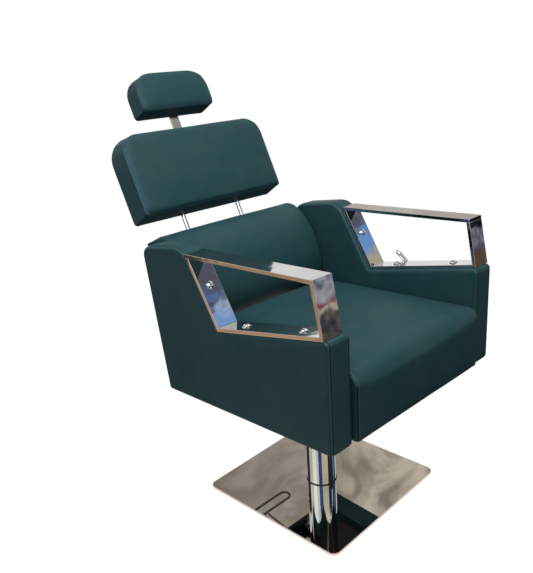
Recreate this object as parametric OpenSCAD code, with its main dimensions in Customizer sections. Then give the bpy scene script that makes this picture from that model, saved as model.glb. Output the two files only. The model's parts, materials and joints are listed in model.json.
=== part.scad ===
// Threading chair: a salon chair on a swivelling hydraulic column, with a reclining back.
// Millimetres. The origin is on the floor under the column, +Z is up, and the sitter faces -Y.

/* [Base] */
// Side of the square base plate
plate_side = 460; // [400:5:560]
// Thickness of the base plate
plate_thick = 6; // [5:0.5:12]
// Corner radius of the base plate
plate_corner = 20; // [6:1:60]
// How far the base stands turned under the seat, in degrees
base_turn = 2.2; // [0:0.1:20]
// Thickness of the floor mat under the plate
mat_thick = 2; // [1:0.5:4]
// How far the mat stays back from the plate's edge
mat_margin = 10; // [4:1:30]

/* [Column] */
// Outer diameter of the fixed column tube
column_d = 84; // [82:1:110]
// Wall of the column tube
column_wall = 3; // [2:0.5:4]
// Length of the column tube
column_len = 277; // [240:1:340]
// Thickness of the disc that closes the column's foot
foot_t = 12; // [10:1:20]
// Circle of the base screws
screw_circle = 56; // [48:1:64]
// Diameter of the base screws
screw_d = 8; // [6:1:10]
// Height of the gasket round the column's foot
gasket_h = 2; // [2:0.5:6]
// Width of the gasket round the column's foot
gasket_w = 1.5; // [1.5:0.5:6]
// Diameter of the ram rod
ram_d = 30; // [24:1:34]
// Diameter of the piston
piston_d = 46; // [42:1:50]
// Height of the piston
piston_h = 14; // [12:1:20]
// Length of the guide bush in the column
bush_len = 70; // [40:1:90]
// Thickness of the guide bush's flange
bush_flange = 5; // [3:0.5:8]

/* [Pump] */
// Outer diameter of the pump jacket
jacket_d = 72; // [70:1:73]
// Wall of the pump jacket
jacket_wall = 3; // [2:0.5:4]
// Clear height of the jacket's lower end above the foot disc
jacket_clear = 5; // [3:1:15]
// Height of the ram gland
gland_h = 20; // [14:1:30]
// Wall of the pressure tube
pressure_wall = 3; // [2:0.5:4]
// Diameter of the pump head
head_d = 96; // [90:1:120]
// Height of the pump head
head_h = 74; // [64:1:90]
// Running gap between the guide bush and the pump head
head_gap = 0.5; // [0.3:0.1:2]
// Depth of the head's plug in the jacket
plug_h = 8; // [6:1:12]
// Width of the mounting plate
mount_w = 200; // [190:1:230]
// Depth of the mounting plate
mount_len = 150; // [130:1:170]
// Thickness of the mounting plate
mount_t = 6; // [4:0.5:10]

/* [Pedal] */
// Distance of the pedal's pivot behind the column axis
pedal_pivot_y = 62; // [58:1:70]
// Drop of the pedal's pivot under the mounting plate
pedal_pivot_drop = 53; // [40:1:58]
// Diameter of the pedal rod
pedal_d = 8; // [6:0.5:10]
// Reach of the foot loop's front run behind the column axis
pedal_reach = 261; // [220:1:300]
// Drop of the foot loop under its pivot
pedal_drop = 41; // [40:1:80]
// Width of the foot loop over its bends
pedal_w = 256; // [200:1:300]
// Distance between the foot loop's two runs
pedal_gap = 38; // [28:1:50]
// Diameter of the pedal's pivot pin
pedal_pin_d = 10; // [8:1:12]

/* [Seat] */
// Outer width of the seat frame
frame_w = 495; // [430:1:560]
// Reach of the seat frame in front of the column axis
frame_front = 318; // [280:1:350]
// Reach of the seat frame behind the column axis
frame_back = 166; // [150:1:174]
// Height of the seat frame's planks
frame_h = 60; // [50:1:70]
// Thickness of the seat frame's planks
plank_t = 18; // [15:1:22]
// Thickness of the seat board
board_t = 12; // [9:1:15]
// Width of the steel rails
rail_w = 40; // [30:1:50]
// Thickness of the steel rails
rail_t = 10; // [6:1:12]
// Distance between the rails' centre lines
rail_gap = 150; // [140:1:156]
// Thickness of the dust cover
cover_t = 1; // [0.6:0.1:2]
// Height of the cushion's rear edge above the seat board
foam_back = 65; // [40:1:80]
// Height of the cushion's front edge above the seat board
foam_front = 83; // [50:1:90]
// Rise of the cushion's crown above its edges
seat_crown = 13; // [4:1:25]
// Forward bulge of the cushion's front apron
apron_crown = 8; // [2:1:15]
// Thickness of the cushion's front apron at its sides
apron_t = 23; // [12:0.1:30]
// Radius of the cushion's front edge
seat_nose = 30; // [20:1:55]
// How far the cushion hangs below the seat frame at the front
apron_hang = 5; // [2:1:12]
// Gap between the cushion's side and the arm side
seat_side_gap = 4.5; // [1:0.5:10]

/* [Arms] */
// Thickness of an upholstered arm side
arm_t = 71; // [64:1:100]
// Radius along the edges of an arm side
arm_edge = 7; // [3:1:14]
// Height of an arm side's front lower corner under the seat frame
arm_hang_front = 10; // [0:1:20]
// Height of an arm side's rear lower corner under the seat frame
arm_hang_back = 36.5; // [5:0.5:50]
// Reach of an arm side's front in front of the column axis
arm_front = 327; // [300:0.5:370]
// Reach of an arm side's lower rear corner behind the column axis
arm_back_low = 243.5; // [210:0.5:260]
// Reach of an arm side's upper rear corner behind the column axis
arm_back_high = 297; // [250:1:310]
// Height of an arm side's upper rear corner above the seat frame
arm_back_h = 350; // [300:1:380]
// Height of an arm side's upper front corner above the seat frame
arm_peak_h = 373; // [330:1:400]
// Radius of the shoulder behind the armrest loop
arm_shoulder = 55; // [10:1:66]
// Thickness of the plywood inside an arm side
arm_ply = 18; // [12:1:24]
// Width of the armrest loop's bar
loop_w = 59; // [40:1:80]
// Thickness of the armrest loop's bar
loop_t = 9; // [6:0.5:14]
// Rear upper corner of the loop, behind the column axis
loop_y1 = 117.3; // [80:0.1:140]
// Rear upper corner of the loop, above the seat frame
loop_h1 = 359.8; // [320:0.1:390]
// Front upper corner of the loop, in front of the column axis
loop_y2 = 293.4; // [260:0.1:330]
// Front upper corner of the loop, above the seat frame
loop_h2 = 374.3; // [330:0.1:400]
// Front lower corner of the loop, in front of the column axis
loop_y3 = 317.3; // [280:0.1:326]
// Front lower corner of the loop, above the seat frame
loop_h3 = 251.1; // [200:0.1:280]
// Rear lower corner of the loop, behind the column axis
loop_y4 = 15.8; // [-20:0.1:40]
// Rear lower corner of the loop, above the seat frame
loop_h4 = 186.9; // [150:0.1:220]
// Diameter of the loop's dome-headed bolts
loop_bolt_d = 8; // [6:1:10]
// Diameter of the loop bolts' heads
loop_head_d = 19; // [14:1:20]
// Length of the loop's bolts under the head
loop_bolt_len = 48; // [40:1:56]

/* [Recline] */
// Lean of the back from upright as it stands, in degrees
lean = 24.5; // [15:0.5:35]
// Distance of the hinge behind the column axis
hinge_y = 215; // [205:1:225]
// Height of the hinge above the seat frame's underside
hinge_h = 88; // [80:1:100]
// Distance of the hinge arms' inner faces in from the seat frame's sides
hinge_inset = 63.5; // [52:0.5:90]
// Thickness of the hinge arms and brackets
hinge_t = 6; // [4:0.5:8]
// Diameter of the hinge pins
hinge_pin_d = 12; // [10:1:14]
// Radius of the strut's lug about the hinge
lug_r = 45; // [40:1:55]
// Turn of the strut's lug past the hinge's plumb line, in degrees
lug_turn = 10; // [5:1:15]
// Outer diameter of the gas strut's tube
strut_d = 22; // [18:1:24]
// Diameter of the gas strut's rod
strut_rod_d = 10; // [8:1:12]
// Distance of the recline lever's pivot in front of the column axis
lever_y = 160; // [120:1:200]
// Height of the recline lever's pivot above the seat frame's underside
lever_h = 30; // [24:1:40]
// Diameter of the recline lever's rod
lever_d = 13; // [8:1:16]
// Length of the lever's lower stretch
lever_low = 129; // [80:1:160]
// Lean of the lever's lower stretch from upright, in degrees
lever_lean_low = 14.5; // [0:0.5:30]
// Length of the lever's upper stretch
lever_high = 128; // [60:1:160]
// Lean of the lever's upper stretch from upright, in degrees
lever_lean_high = 51.5; // [30:0.5:70]

/* [Lower back] */
// Gap between the lower back cushion and the arm sides
bolster_side_gap = 3; // [2:0.5:10]
// Height of the lower back cushion's foot above the hinge, along the back
bolster_low = 17.5; // [17:0.5:40]
// Height of the lower back cushion
bolster_h = 269; // [220:0.5:290]
// Bulge of the lower back cushion in front of the hinge
bolster_bulge = 84; // [50:1:100]
// Distance of the back boards' front faces behind the hinge
board_d = 56; // [50:1:70]
// Thickness of the back boards
back_ply = 12; // [9:1:15]
// Distance between the two rods
rod_gap = 206; // [160:1:260]
// Diameter of the two rods
rod_d = 12; // [10:1:14]
// Distance of the rods' axes behind the hinge
rod_depth = 48; // [46:0.5:49]
// Height of the rods' lower ends above the hinge
rod_low = 62; // [40:1:90]
// Length of the rods
rod_len = 391; // [350:1:400]

/* [Upper back] */
// Width of the upper back pad
upper_w = 515; // [420:1:540]
// Height of the upper back pad
upper_h = 254; // [200:1:270]
// Height of the upper back pad's foot above the hinge
upper_low = 338; // [330:1:370]
// Thickness of the upper back pad from seam to board
upper_t = 78; // [64:1:90]
// Corner radius at the pad's top
upper_corner = 66; // [20:1:70]
// Bulge of the pad's face past its seam
upper_crown = 9; // [3:1:20]
// How far the pad's seam stands in from its rear edge, at the sides, foot and top
upper_taper = [7, 12, 18]; // [0:1:30]

/* [Headrest] */
// Width of the headrest
head_w = 255; // [200:1:300]
// Height of the headrest
head_height = 129; // [100:1:150]
// Height of the headrest's foot above the hinge
head_low = 635; // [620:1:700]
// Thickness of the headrest from seam to board
head_t = 66; // [56:1:76]
// Corner radius at the headrest's top
head_corner = 60; // [20:1:62]
// Bulge of the headrest's face past its seam
head_crown = 7; // [3:1:16]
// How far the headrest's seam stands in from its rear edge, at the sides, foot and top
head_taper = [1, 8, 13]; // [0:1:30]
// Width of the headrest strap
strap_w = 30; // [24:1:40]
// Thickness of the headrest strap
strap_t = 5; // [4:0.5:6]
// Height of the strap's lower end above the upper pad's foot
strap_foot = 146; // [130:1:170]

/* [Fits] */
// Radial clearance of a running fit
run = 0.05; // [0.03:0.01:0.1]
// Clearance round a seated piece
seat_fit = 0.3; // [0.2:0.05:0.5]

/* [Hidden] */
$fn = 64;

leather = [0.13, 0.27, 0.30];
chrome = [0.80, 0.80, 0.82];
steel = [0.45, 0.46, 0.48];
black = [0.08, 0.08, 0.09];
wood = [0.72, 0.56, 0.38];

// Heights of the column, from the floor up
plate_top = mat_thick + plate_thick;
foot_top = plate_top + foot_t;
column_top = plate_top + column_len;
bush_top = column_top + bush_flange;
head_bottom = bush_top + head_gap;
head_top = head_bottom + head_h;
mount_top = head_top + mount_t;
rail_top = mount_top + rail_t;
frame_z = rail_top + cover_t;
frame_top = frame_z + frame_h;
board_top = frame_top + board_t;

column_bore = column_d - 2 * column_wall;
jacket_bore = jacket_d - 2 * jacket_wall;
jacket_low = foot_top + jacket_clear;
pressure_low = jacket_low + gland_h;
plug_low = head_bottom - plug_h;
ram_top = plug_low - piston_h - 8;
stud_d = ram_d - 14;
stud_sink = 3;
mat_side = plate_side - 2 * mat_margin;
mount_bolt_y = mount_len / 2 - 20;
mount_bolt_d = 8;
hex_h = 5.5;

// Places on the seat
rail_x = rail_gap / 2;
arm_out = frame_w / 2 + 0.5 + arm_t;
arm_in = arm_out - arm_t;
seat_w = 2 * (arm_in - seat_side_gap);
bolster_w = 2 * (arm_in - bolster_side_gap);
ply_mid = arm_out - loop_w / 2;
hinge_z = frame_z + hinge_h;
hinge_x = frame_w / 2 - hinge_inset;
strut_z = hinge_z - lug_r * cos(lug_turn);
strut_x = hinge_x - 4;
lever_z = frame_z + lever_h;
lever_x = arm_out + 3.5 + lever_d / 2;
shaft_d = 12;
pedal_pivot_z = head_top - pedal_pivot_drop;

// Corners of the armrest loop in (y, z), from the rear top round the front to the rear bottom
loop_outer = [[loop_y1, frame_z + loop_h1], [-loop_y2, frame_z + loop_h2],
  [-loop_y3, frame_z + loop_h3], [loop_y4, frame_z + loop_h4]];

// Places on the back, along the back (d rearwards, v upwards) from the hinge
board_back = board_d + back_ply;
rod_x = rod_gap / 2;
block_t = 16;
block_front = board_d - block_t;
strap_front = board_back - strap_t + 0.5;
strap_low = upper_low + strap_foot;
strap_len = head_low + 104 - strap_low;
cover_d = 6;
flange_t = 4;
socket_low = upper_low + 19;
socket_len = 140;
guide_low = upper_low + 129;
guide_len = 105;

// Plane geometry
function unit(v) = v / norm(v);
function cross2(a, b) = a[0] * b[1] - a[1] * b[0];
function meet(p, u, q, w) = p + u * cross2(q - p, w) / cross2(u, w);
function turn(v) = [-v[1], v[0]];
// A closed outline moved to its left by t at every side
function shifted(c, t) = let (n = len(c)) [for (i = [0:n - 1])
  let (a = c[(i + n - 1) % n], b = c[i], d = c[(i + 1) % n], u = unit(b - a), w = unit(d - b))
  meet(b + turn(u) * t, u, b + turn(w) * t, w)];
// One corner of an outline, rounded to radius r in k steps
function arc_at(a, p, b, r, k) =
  let (u = unit(a - p), w = unit(b - p), half = acos(u * w) / 2, m = p + unit(u + w) * r / sin(half),
    s = p + u * r / tan(half) - m, e = p + w * r / tan(half) - m,
    a0 = atan2(s[1], s[0]), sweep = (atan2(e[1], e[0]) - a0 + 540) % 360 - 180)
  [for (j = [0:k]) m + r * [cos(a0 + sweep * j / k), sin(a0 + sweep * j / k)]];
// A closed outline with its own radius at each corner
function rounded(c, radii, k) = let (n = len(c)) [for (i = [0:n - 1])
  each arc_at(c[(i + n - 1) % n], c[i], c[(i + 1) % n], radii[i], k)];

// A closed skin through equal rings of points, each end closed to a point
module skin(rings, first, last) {
  n = len(rings[0]);
  m = len(rings);
  polyhedron(
    points = concat([for (r = rings) each r], [first, last]),
    faces = concat(
      [for (k = [0:m - 2], i = [0:n - 1]) [k * n + i, (k + 1) * n + (i + 1) % n, k * n + (i + 1) % n]],
      [for (k = [0:m - 2], i = [0:n - 1]) [k * n + i, (k + 1) * n + i, (k + 1) * n + (i + 1) % n]],
      [for (i = [0:n - 1]) [m * n, i, (i + 1) % n]],
      [for (i = [0:n - 1]) [m * n + 1, (m - 1) * n + (i + 1) % n, (m - 1) * n + i]]));
}

// A closed skin whose rings run out along one edge and back along another of as many points
module folded_skin(rings) {
  n = len(rings[0]);
  h = n / 2;
  m = len(rings);
  end = (m - 1) * n;
  polyhedron(
    points = [for (r = rings) each r],
    faces = concat(
      [for (k = [0:m - 2], i = [0:n - 1]) [k * n + i, k * n + (i + 1) % n, (k + 1) * n + (i + 1) % n]],
      [for (k = [0:m - 2], i = [0:n - 1]) [k * n + i, (k + 1) * n + (i + 1) % n, (k + 1) * n + i]],
      [for (i = [0:h - 2]) [i + 1, i, n - 1 - i]],
      [for (i = [0:h - 2]) [i + 1, n - 1 - i, n - 2 - i]],
      [for (i = [0:h - 2]) [end + i, end + i + 1, end + n - 1 - i]],
      [for (i = [0:h - 2]) [end + i + 1, end + n - 2 - i, end + n - 1 - i]]));
}

// Widths of a cushion's stations, close together near its rounded ends
function stations(half, edge) = let (q = [for (a = [0, 30, 60, 90]) half - edge + edge * sin(a)])
  concat([for (i = [3:-1:0]) -q[i]], [for (s = [-0.66, -0.33, 0, 0.33, 0.66]) s * half], q);
// How far a cushion's skin draws in at a station near its end
function drawn(x, half, edge) = let (t = max(0, abs(x) - half + edge)) edge - sqrt(max(0, edge * edge - t * t));

module on_back() {
  translate([0, hinge_y, hinge_z]) rotate([-lean, 0, 0]) children();
}
module on_base() {
  rotate([0, 0, base_turn]) children();
}
module along_x(x0, x1, d) {
  translate([x0, 0, 0]) rotate([0, 90, 0]) cylinder(d = d, h = x1 - x0);
}
module along_y(y0, y1, d) {
  translate([0, y0, 0]) rotate([-90, 0, 0]) cylinder(d = d, h = y1 - y0);
}
// A flat piece cut in the (y, z) plane, from x0 to x1
module slab(x0, x1) {
  translate([x0, 0, 0]) rotate([90, 0, 90]) linear_extrude(x1 - x0) children();
}
module both_sides() {
  children();
  mirror([1, 0, 0]) children();
}
module ring_of(count, circle) {
  for (i = [0:count - 1]) rotate([0, 0, 45 + 360 * i / count]) translate([circle / 2, 0, 0]) children();
}

// Base
module plate_shape(side, r, t) {
  flat = side - 2 * r;
  translate([-side / 2, -flat / 2, 0]) cube([side, flat, t]);
  translate([-flat / 2, -side / 2, 0]) cube([flat, side, t]);
  for (x = [-1, 1], y = [-1, 1]) translate([x * flat / 2, y * flat / 2, 0]) cylinder(r = r, h = t);
}
module floor_mat() {
  color(black) on_base() plate_shape(mat_side, max(2, plate_corner - mat_margin), mat_thick);
}
module base_plate() {
  color(chrome) on_base() translate([0, 0, mat_thick]) difference() {
    plate_shape(plate_side, plate_corner, plate_thick);
    ring_of(4, screw_circle) {
      translate([0, 0, -1]) cylinder(d = screw_d + 2 * run, h = plate_thick + 2);
      translate([0, 0, -1]) cylinder(r1 = screw_d + seat_fit + 1, r2 = screw_d / 2 + seat_fit, h = screw_d / 2 + 1);
    }
  }
}
module base_screws() {
  color(steel) on_base() translate([0, 0, mat_thick]) ring_of(4, screw_circle) {
    cylinder(r1 = screw_d, r2 = screw_d / 2, h = screw_d / 2);
    cylinder(d = screw_d, h = plate_thick + foot_t - 2);
  }
}
module foot_disc() {
  color(steel) on_base() translate([0, 0, plate_top]) difference() {
    cylinder(d = column_bore - 2 * run, h = foot_t);
    ring_of(4, screw_circle) translate([0, 0, -1]) cylinder(d = screw_d + 2 * run, h = foot_t);
    translate([0, 0, stud_sink]) cylinder(d = stud_d + 2 * run, h = foot_t);
  }
}
module column_gasket() {
  color(black) translate([0, 0, plate_top]) difference() {
    cylinder(d = column_d + 2 * gasket_w, h = gasket_h);
    translate([0, 0, -1]) cylinder(d = column_d + 2 * run, h = gasket_h + 2);
  }
}
module column_tube() {
  color(chrome) translate([0, 0, plate_top]) difference() {
    cylinder(d = column_d, h = column_len);
    translate([0, 0, -1]) cylinder(d = column_bore, h = column_len + 2);
  }
}
module ram_rod() {
  color(chrome) {
    translate([0, 0, plate_top + stud_sink]) cylinder(d = stud_d, h = foot_t);
    translate([0, 0, foot_top]) cylinder(d = ram_d, h = ram_top - foot_top);
    translate([0, 0, ram_top]) cylinder(d = stud_d, h = piston_h + 2);
  }
}
seal_r = 1.8;
module ram_piston() {
  color(steel) translate([0, 0, ram_top]) difference() {
    cylinder(d = piston_d, h = piston_h);
    translate([0, 0, -1]) cylinder(d = stud_d + 2 * run, h = piston_h + 2);
    translate([0, 0, piston_h / 2 - seal_r - run]) difference() {
      cylinder(d = piston_d + 2, h = 2 * seal_r + 2 * run);
      translate([0, 0, -1]) cylinder(d = piston_d - 4 * seal_r - 2 * run, h = 2 * seal_r + 3);
    }
  }
}
module piston_seal() {
  color(black) translate([0, 0, ram_top + piston_h / 2])
    rotate_extrude() translate([piston_d / 2 - seal_r, 0]) circle(r = seal_r, $fn = 24);
}

// Swivel
module guide_bush() {
  color([0.9, 0.9, 0.86]) difference() {
    union() {
      translate([0, 0, column_top]) cylinder(d = column_d, h = bush_flange);
      translate([0, 0, column_top - bush_len]) cylinder(d = column_bore - 2 * run, h = bush_len + 1);
    }
    translate([0, 0, column_top - bush_len - 1]) cylinder(d = jacket_d + 2 * run, h = bush_len + bush_flange + 2);
  }
}

// Pump
module pump_jacket() {
  color(chrome) translate([0, 0, jacket_low]) difference() {
    cylinder(d = jacket_d, h = head_bottom - jacket_low);
    translate([0, 0, -1]) cylinder(d = jacket_bore, h = head_bottom - jacket_low + 2);
  }
}
module pressure_tube() {
  color(steel) translate([0, 0, pressure_low]) difference() {
    cylinder(d = piston_d + 2 * run + 2 * pressure_wall, h = plug_low - pressure_low);
    translate([0, 0, -1]) cylinder(d = piston_d + 2 * run, h = plug_low - pressure_low + 2);
  }
}
module ram_gland() {
  color([0.72, 0.53, 0.26]) translate([0, 0, jacket_low]) difference() {
    cylinder(d = jacket_bore - 2 * run, h = gland_h);
    translate([0, 0, -1]) cylinder(d = ram_d + 2 * run, h = gland_h + 2);
  }
}
lug_t = 8;
lug_in = 14;
module pump_head() {
  color(black) difference() {
    union() {
      translate([0, 0, head_bottom]) cylinder(d = head_d, h = head_h);
      translate([0, 0, plug_low]) cylinder(d = jacket_bore - 2 * run, h = plug_h + 1);
      both_sides() slab(lug_in, lug_in + lug_t) {
        translate([head_d / 2 - 20, pedal_pivot_z - 12]) square([pedal_pivot_y - head_d / 2 + 20, 24]);
        translate([pedal_pivot_y, pedal_pivot_z]) circle(r = 12);
      }
    }
    translate([0, pedal_pivot_y, pedal_pivot_z]) along_x(-lug_in - lug_t - 1, lug_in + lug_t + 1, pedal_pin_d + 2 * run);
    translate([0, pedal_pivot_y, pedal_pivot_z]) along_x(-lug_in, lug_in, 34);
  }
}
module at_mount_bolts() {
  for (x = [-rail_x, rail_x], y = [-mount_bolt_y, mount_bolt_y]) translate([x, y, 0]) children();
}
module mounting_plate() {
  color(steel) difference() {
    translate([-mount_w / 2, -mount_len / 2, head_top]) cube([mount_w, mount_len, mount_t]);
    at_mount_bolts() translate([0, 0, head_top - 1]) cylinder(d = mount_bolt_d + 2 * run, h = mount_t + 2);
  }
}
module pump_bolts() {
  color(chrome) at_mount_bolts() {
    translate([0, 0, head_top - hex_h]) cylinder(d = 15, h = hex_h, $fn = 6);
    translate([0, 0, head_top - 1]) cylinder(d = mount_bolt_d, h = mount_t + rail_t + cover_t + hex_h + 4);
    translate([0, 0, frame_z]) cylinder(d = 15, h = hex_h, $fn = 6);
  }
}

// Pedal
pedal_hub_d = 24;
loop_r = pedal_gap / 2;
neck_x = 8;
module neck_run(p, q) {
  v = q - p;
  translate(p) rotate([0, acos(v[2] / norm(v)), atan2(v[1], v[0])]) cylinder(d = pedal_d - 1, h = norm(v));
}
module pedal() {
  loop_y = pedal_reach;
  loop_z = pedal_pivot_z - pedal_drop;
  bend_x = pedal_w / 2 - loop_r;
  start = [neck_x, pedal_pivot_y + pedal_hub_d / 2 - 3, pedal_pivot_z - 4];
  color(chrome) {
    difference() {
      translate([0, pedal_pivot_y, pedal_pivot_z]) along_x(-lug_in + 0.5, lug_in - 0.5, pedal_hub_d);
      translate([0, pedal_pivot_y, pedal_pivot_z]) along_x(-lug_in, lug_in, pedal_pin_d + 2 * run);
    }
    for (y = [loop_y, loop_y + pedal_gap]) translate([0, y, loop_z]) along_x(-bend_x, bend_x, pedal_d);
    both_sides() {
      neck_run(start, [neck_x, loop_y, loop_z]);
      translate([bend_x, loop_y + loop_r, loop_z]) rotate([0, 0, -90])
        rotate_extrude(angle = 180) translate([loop_r, 0]) circle(d = pedal_d, $fn = 24);
    }
  }
}
module pedal_pin() {
  color(steel) translate([0, pedal_pivot_y, pedal_pivot_z]) {
    along_x(-lug_in - lug_t - 0.2, lug_in + lug_t + 0.2, pedal_pin_d);
    both_sides() along_x(lug_in + lug_t + 0.2, lug_in + lug_t + 3, pedal_pin_d + 5);
  }
}

// Seat
rail_screw_y = [-frame_front + plank_t / 2, frame_back - plank_t / 2];
module at_rail_screws() {
  for (x = [-rail_x, rail_x], y = rail_screw_y) translate([x, y, 0]) children();
}
module seat_rails() {
  color(steel) difference() {
    for (x = [-rail_x, rail_x])
      translate([x - rail_w / 2, -frame_front, mount_top]) cube([rail_w, frame_front + frame_back, rail_t]);
    at_mount_bolts() translate([0, 0, mount_top - 1]) cylinder(d = mount_bolt_d + 2 * run, h = rail_t + 2);
    at_rail_screws() translate([0, 0, mount_top - 1]) cylinder(d = 6 + 2 * run, h = rail_t + 2);
  }
}
module rail_screws() {
  color(steel) at_rail_screws() {
    translate([0, 0, mount_top - 3.5]) cylinder(d = 12, h = 3.5);
    translate([0, 0, mount_top - 1]) cylinder(d = 6, h = rail_t + cover_t + 31);
  }
}
module dust_cover() {
  color(black) difference() {
    translate([-frame_w / 2, -frame_front, rail_top]) cube([frame_w, frame_front + frame_back, cover_t]);
    at_mount_bolts() translate([0, 0, rail_top - 1]) cylinder(d = mount_bolt_d + 1, h = cover_t + 2);
    at_rail_screws() translate([0, 0, rail_top - 1]) cylinder(d = 7, h = cover_t + 2);
  }
}
fixing_y = [-0.8 * frame_front, -0.2 * frame_front, 0.7 * frame_back];
fixing_z = frame_z + frame_h / 2 + 6;
module at_fixings() {
  for (y = fixing_y) translate([0, y, fixing_z]) children();
}
module seat_frame() {
  color(wood) difference() {
    translate([-frame_w / 2, -frame_front, frame_z]) cube([frame_w, frame_front + frame_back, frame_h]);
    translate([-frame_w / 2 + plank_t, -frame_front + plank_t, frame_z - 1])
      cube([frame_w - 2 * plank_t, frame_front + frame_back - 2 * plank_t, frame_h + 2]);
    at_rail_screws() translate([0, 0, frame_z - 1]) cylinder(d = 6 + 2 * run, h = 33);
    translate([0, -lever_y, lever_z]) along_x(frame_w / 2 - plank_t - 1, frame_w / 2 + 1, shaft_d + 2);
    translate([strut_x, 0, strut_z]) along_y(frame_back - plank_t - 1, frame_back + 1, strut_rod_d + 6);
    both_sides() at_fixings() along_x(frame_w / 2 - plank_t - 1, frame_w / 2 + 1, 8 + 2 * run);
  }
}
module seat_board() {
  color(wood) translate([-frame_w / 2, -frame_front, frame_top])
    cube([frame_w, frame_front + frame_back, board_t]);
}
// The cushion's skin in (y, z) with its outward normal and share of the crown: the nose, the top and the rear
cushion_bottom = board_top + seat_fit;
cushion_back = hinge_y - 44;
cushion_front = frame_front + apron_t;
seat_edge = 12;
back_round = 16;
function seat_path() =
  let (top_f = board_top + foam_front, top_b = board_top + foam_back, low = frame_z - apron_hang,
    nose = [-cushion_front + seat_nose, top_f - seat_nose], heel = [cushion_back - back_round, top_b - back_round])
  concat(
    [for (z = [0, 0.33, 0.66]) [-cushion_front, low + (nose[1] - low) * z, -1, 0, 0.3 + z, 1]],
    [for (a = [0:15:90]) [nose[0] - seat_nose * cos(a), nose[1] + seat_nose * sin(a), -cos(a), sin(a), 1, 1]],
    [for (j = [1:4]) [nose[0] + (heel[0] - nose[0]) * j / 5, top_f + (top_b - top_f) * j / 5, 0, 1, 1, 1]],
    [for (a = [90:-30:0]) [heel[0] + back_round * cos(a), heel[1] + back_round * sin(a), cos(a), sin(a), sin(a), 1]],
    [[cushion_back, cushion_bottom + 4, 1, 0, 0, 0.3]]);
// The skin's inner side: up behind the apron, then back over the seat board
function seat_inner(i, n) = let (front = -frame_front - seat_fit, low = frame_z - apron_hang)
  i < 5 ? [front, low + (cushion_bottom - low) * i / 4] :
  [front + (cushion_back - 8 - front) * (i - 4) / (n - 5), cushion_bottom];
function seat_ring(x) = let (path = seat_path(), n = len(path), half = seat_w / 2,
    up = 1 - pow(abs(x) / half, 2), e = drawn(x, half, seat_edge))
  concat(
    [for (p = path) let (c = up * p[4] * (p[3] > 0.7 ? seat_crown : apron_crown) - e * p[5])
      [x, p[0] + p[2] * c, p[1] + p[3] * c]],
    [for (i = [n - 1:-1:0]) let (q = seat_inner(i, n)) [x, q[0], q[1]]]);
module seat_cushion() {
  color(leather) folded_skin([for (x = stations(seat_w / 2, seat_edge)) seat_ring(x)]);
}

// Arm sides
arm_low_f = frame_z - arm_hang_front;
arm_low_b = frame_z - arm_hang_back;
arm_slope = unit(loop_outer[3] - loop_outer[2]);
arm_slant = unit(loop_outer[0] - loop_outer[3]);
arm_nose = meet(loop_outer[3], arm_slope, [-arm_front, 0], [0, 1]);
arm_peak = meet(loop_outer[3], arm_slant, [0, frame_z + arm_peak_h], [1, 0]);
arm_corners = [[arm_back_low, arm_low_b], [arm_back_high, frame_z + arm_back_h], arm_peak, loop_outer[3],
  arm_nose, [-arm_front, arm_low_f]];
arm_radii = [8, 20, arm_shoulder, 0.2, 12, 5];
arm_heart = [loop_y4 + 99, frame_z + 98];
// The arm side lies this far under the loop, face to face but for the fit
arm_under = seat_fit / 3;
function arm_outline(inset) =
  [for (p = rounded(shifted(arm_corners, arm_under + inset), [for (i = [0:5])
    i == 3 ? arm_radii[i] + inset : max(0.8, arm_radii[i] - inset)], 5)) p];
function arm_ring(x, inset) = [for (p = arm_outline(inset)) [x, p[0], p[1]]];
function arm_cap(x, share) = [for (p = arm_outline(arm_edge)) let (q = arm_heart + (p - arm_heart) * share) [x, q[0], q[1]]];
arm_crown = 1.5;
module arm_body() {
  r = arm_edge;
  skin(concat(
      [arm_cap(arm_in, 0.6)],
      [for (a = [90, 60, 30, 0]) arm_ring(arm_in + r * (1 - cos(90 - a)), r * (1 - sin(90 - a)))],
      [for (a = [0, 30, 60, 90]) arm_ring(arm_out - r * (1 - cos(90 - a)), r * (1 - sin(90 - a)))],
      [arm_cap(arm_out + arm_crown, 0.6)]),
    [arm_in, arm_heart[0], arm_heart[1]], [arm_out + arm_crown, arm_heart[0], arm_heart[1]]);
}
ply_inset = 14;
// The plywood reaches down to the arm side's lower edge
function ply_outline(grow) = let (c = shifted(arm_corners, ply_inset - grow), low = arm_corners[5] - arm_corners[0],
    base = arm_corners[0] + [0, arm_under + 0.5], u = unit(low))
  [meet(c[0], unit(c[1] - c[0]), base, u), c[1], c[2], c[3], c[4], meet(c[4], unit(c[5] - c[4]), base, u)];
module at_loop_bolts(side) {
  for (i = [0:2]) {
    b = loop_bolt_frame(i);
    translate([side * ply_mid, b[0][0], b[0][1]]) rotate([b[1], 0, 0]) children();
  }
}
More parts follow.
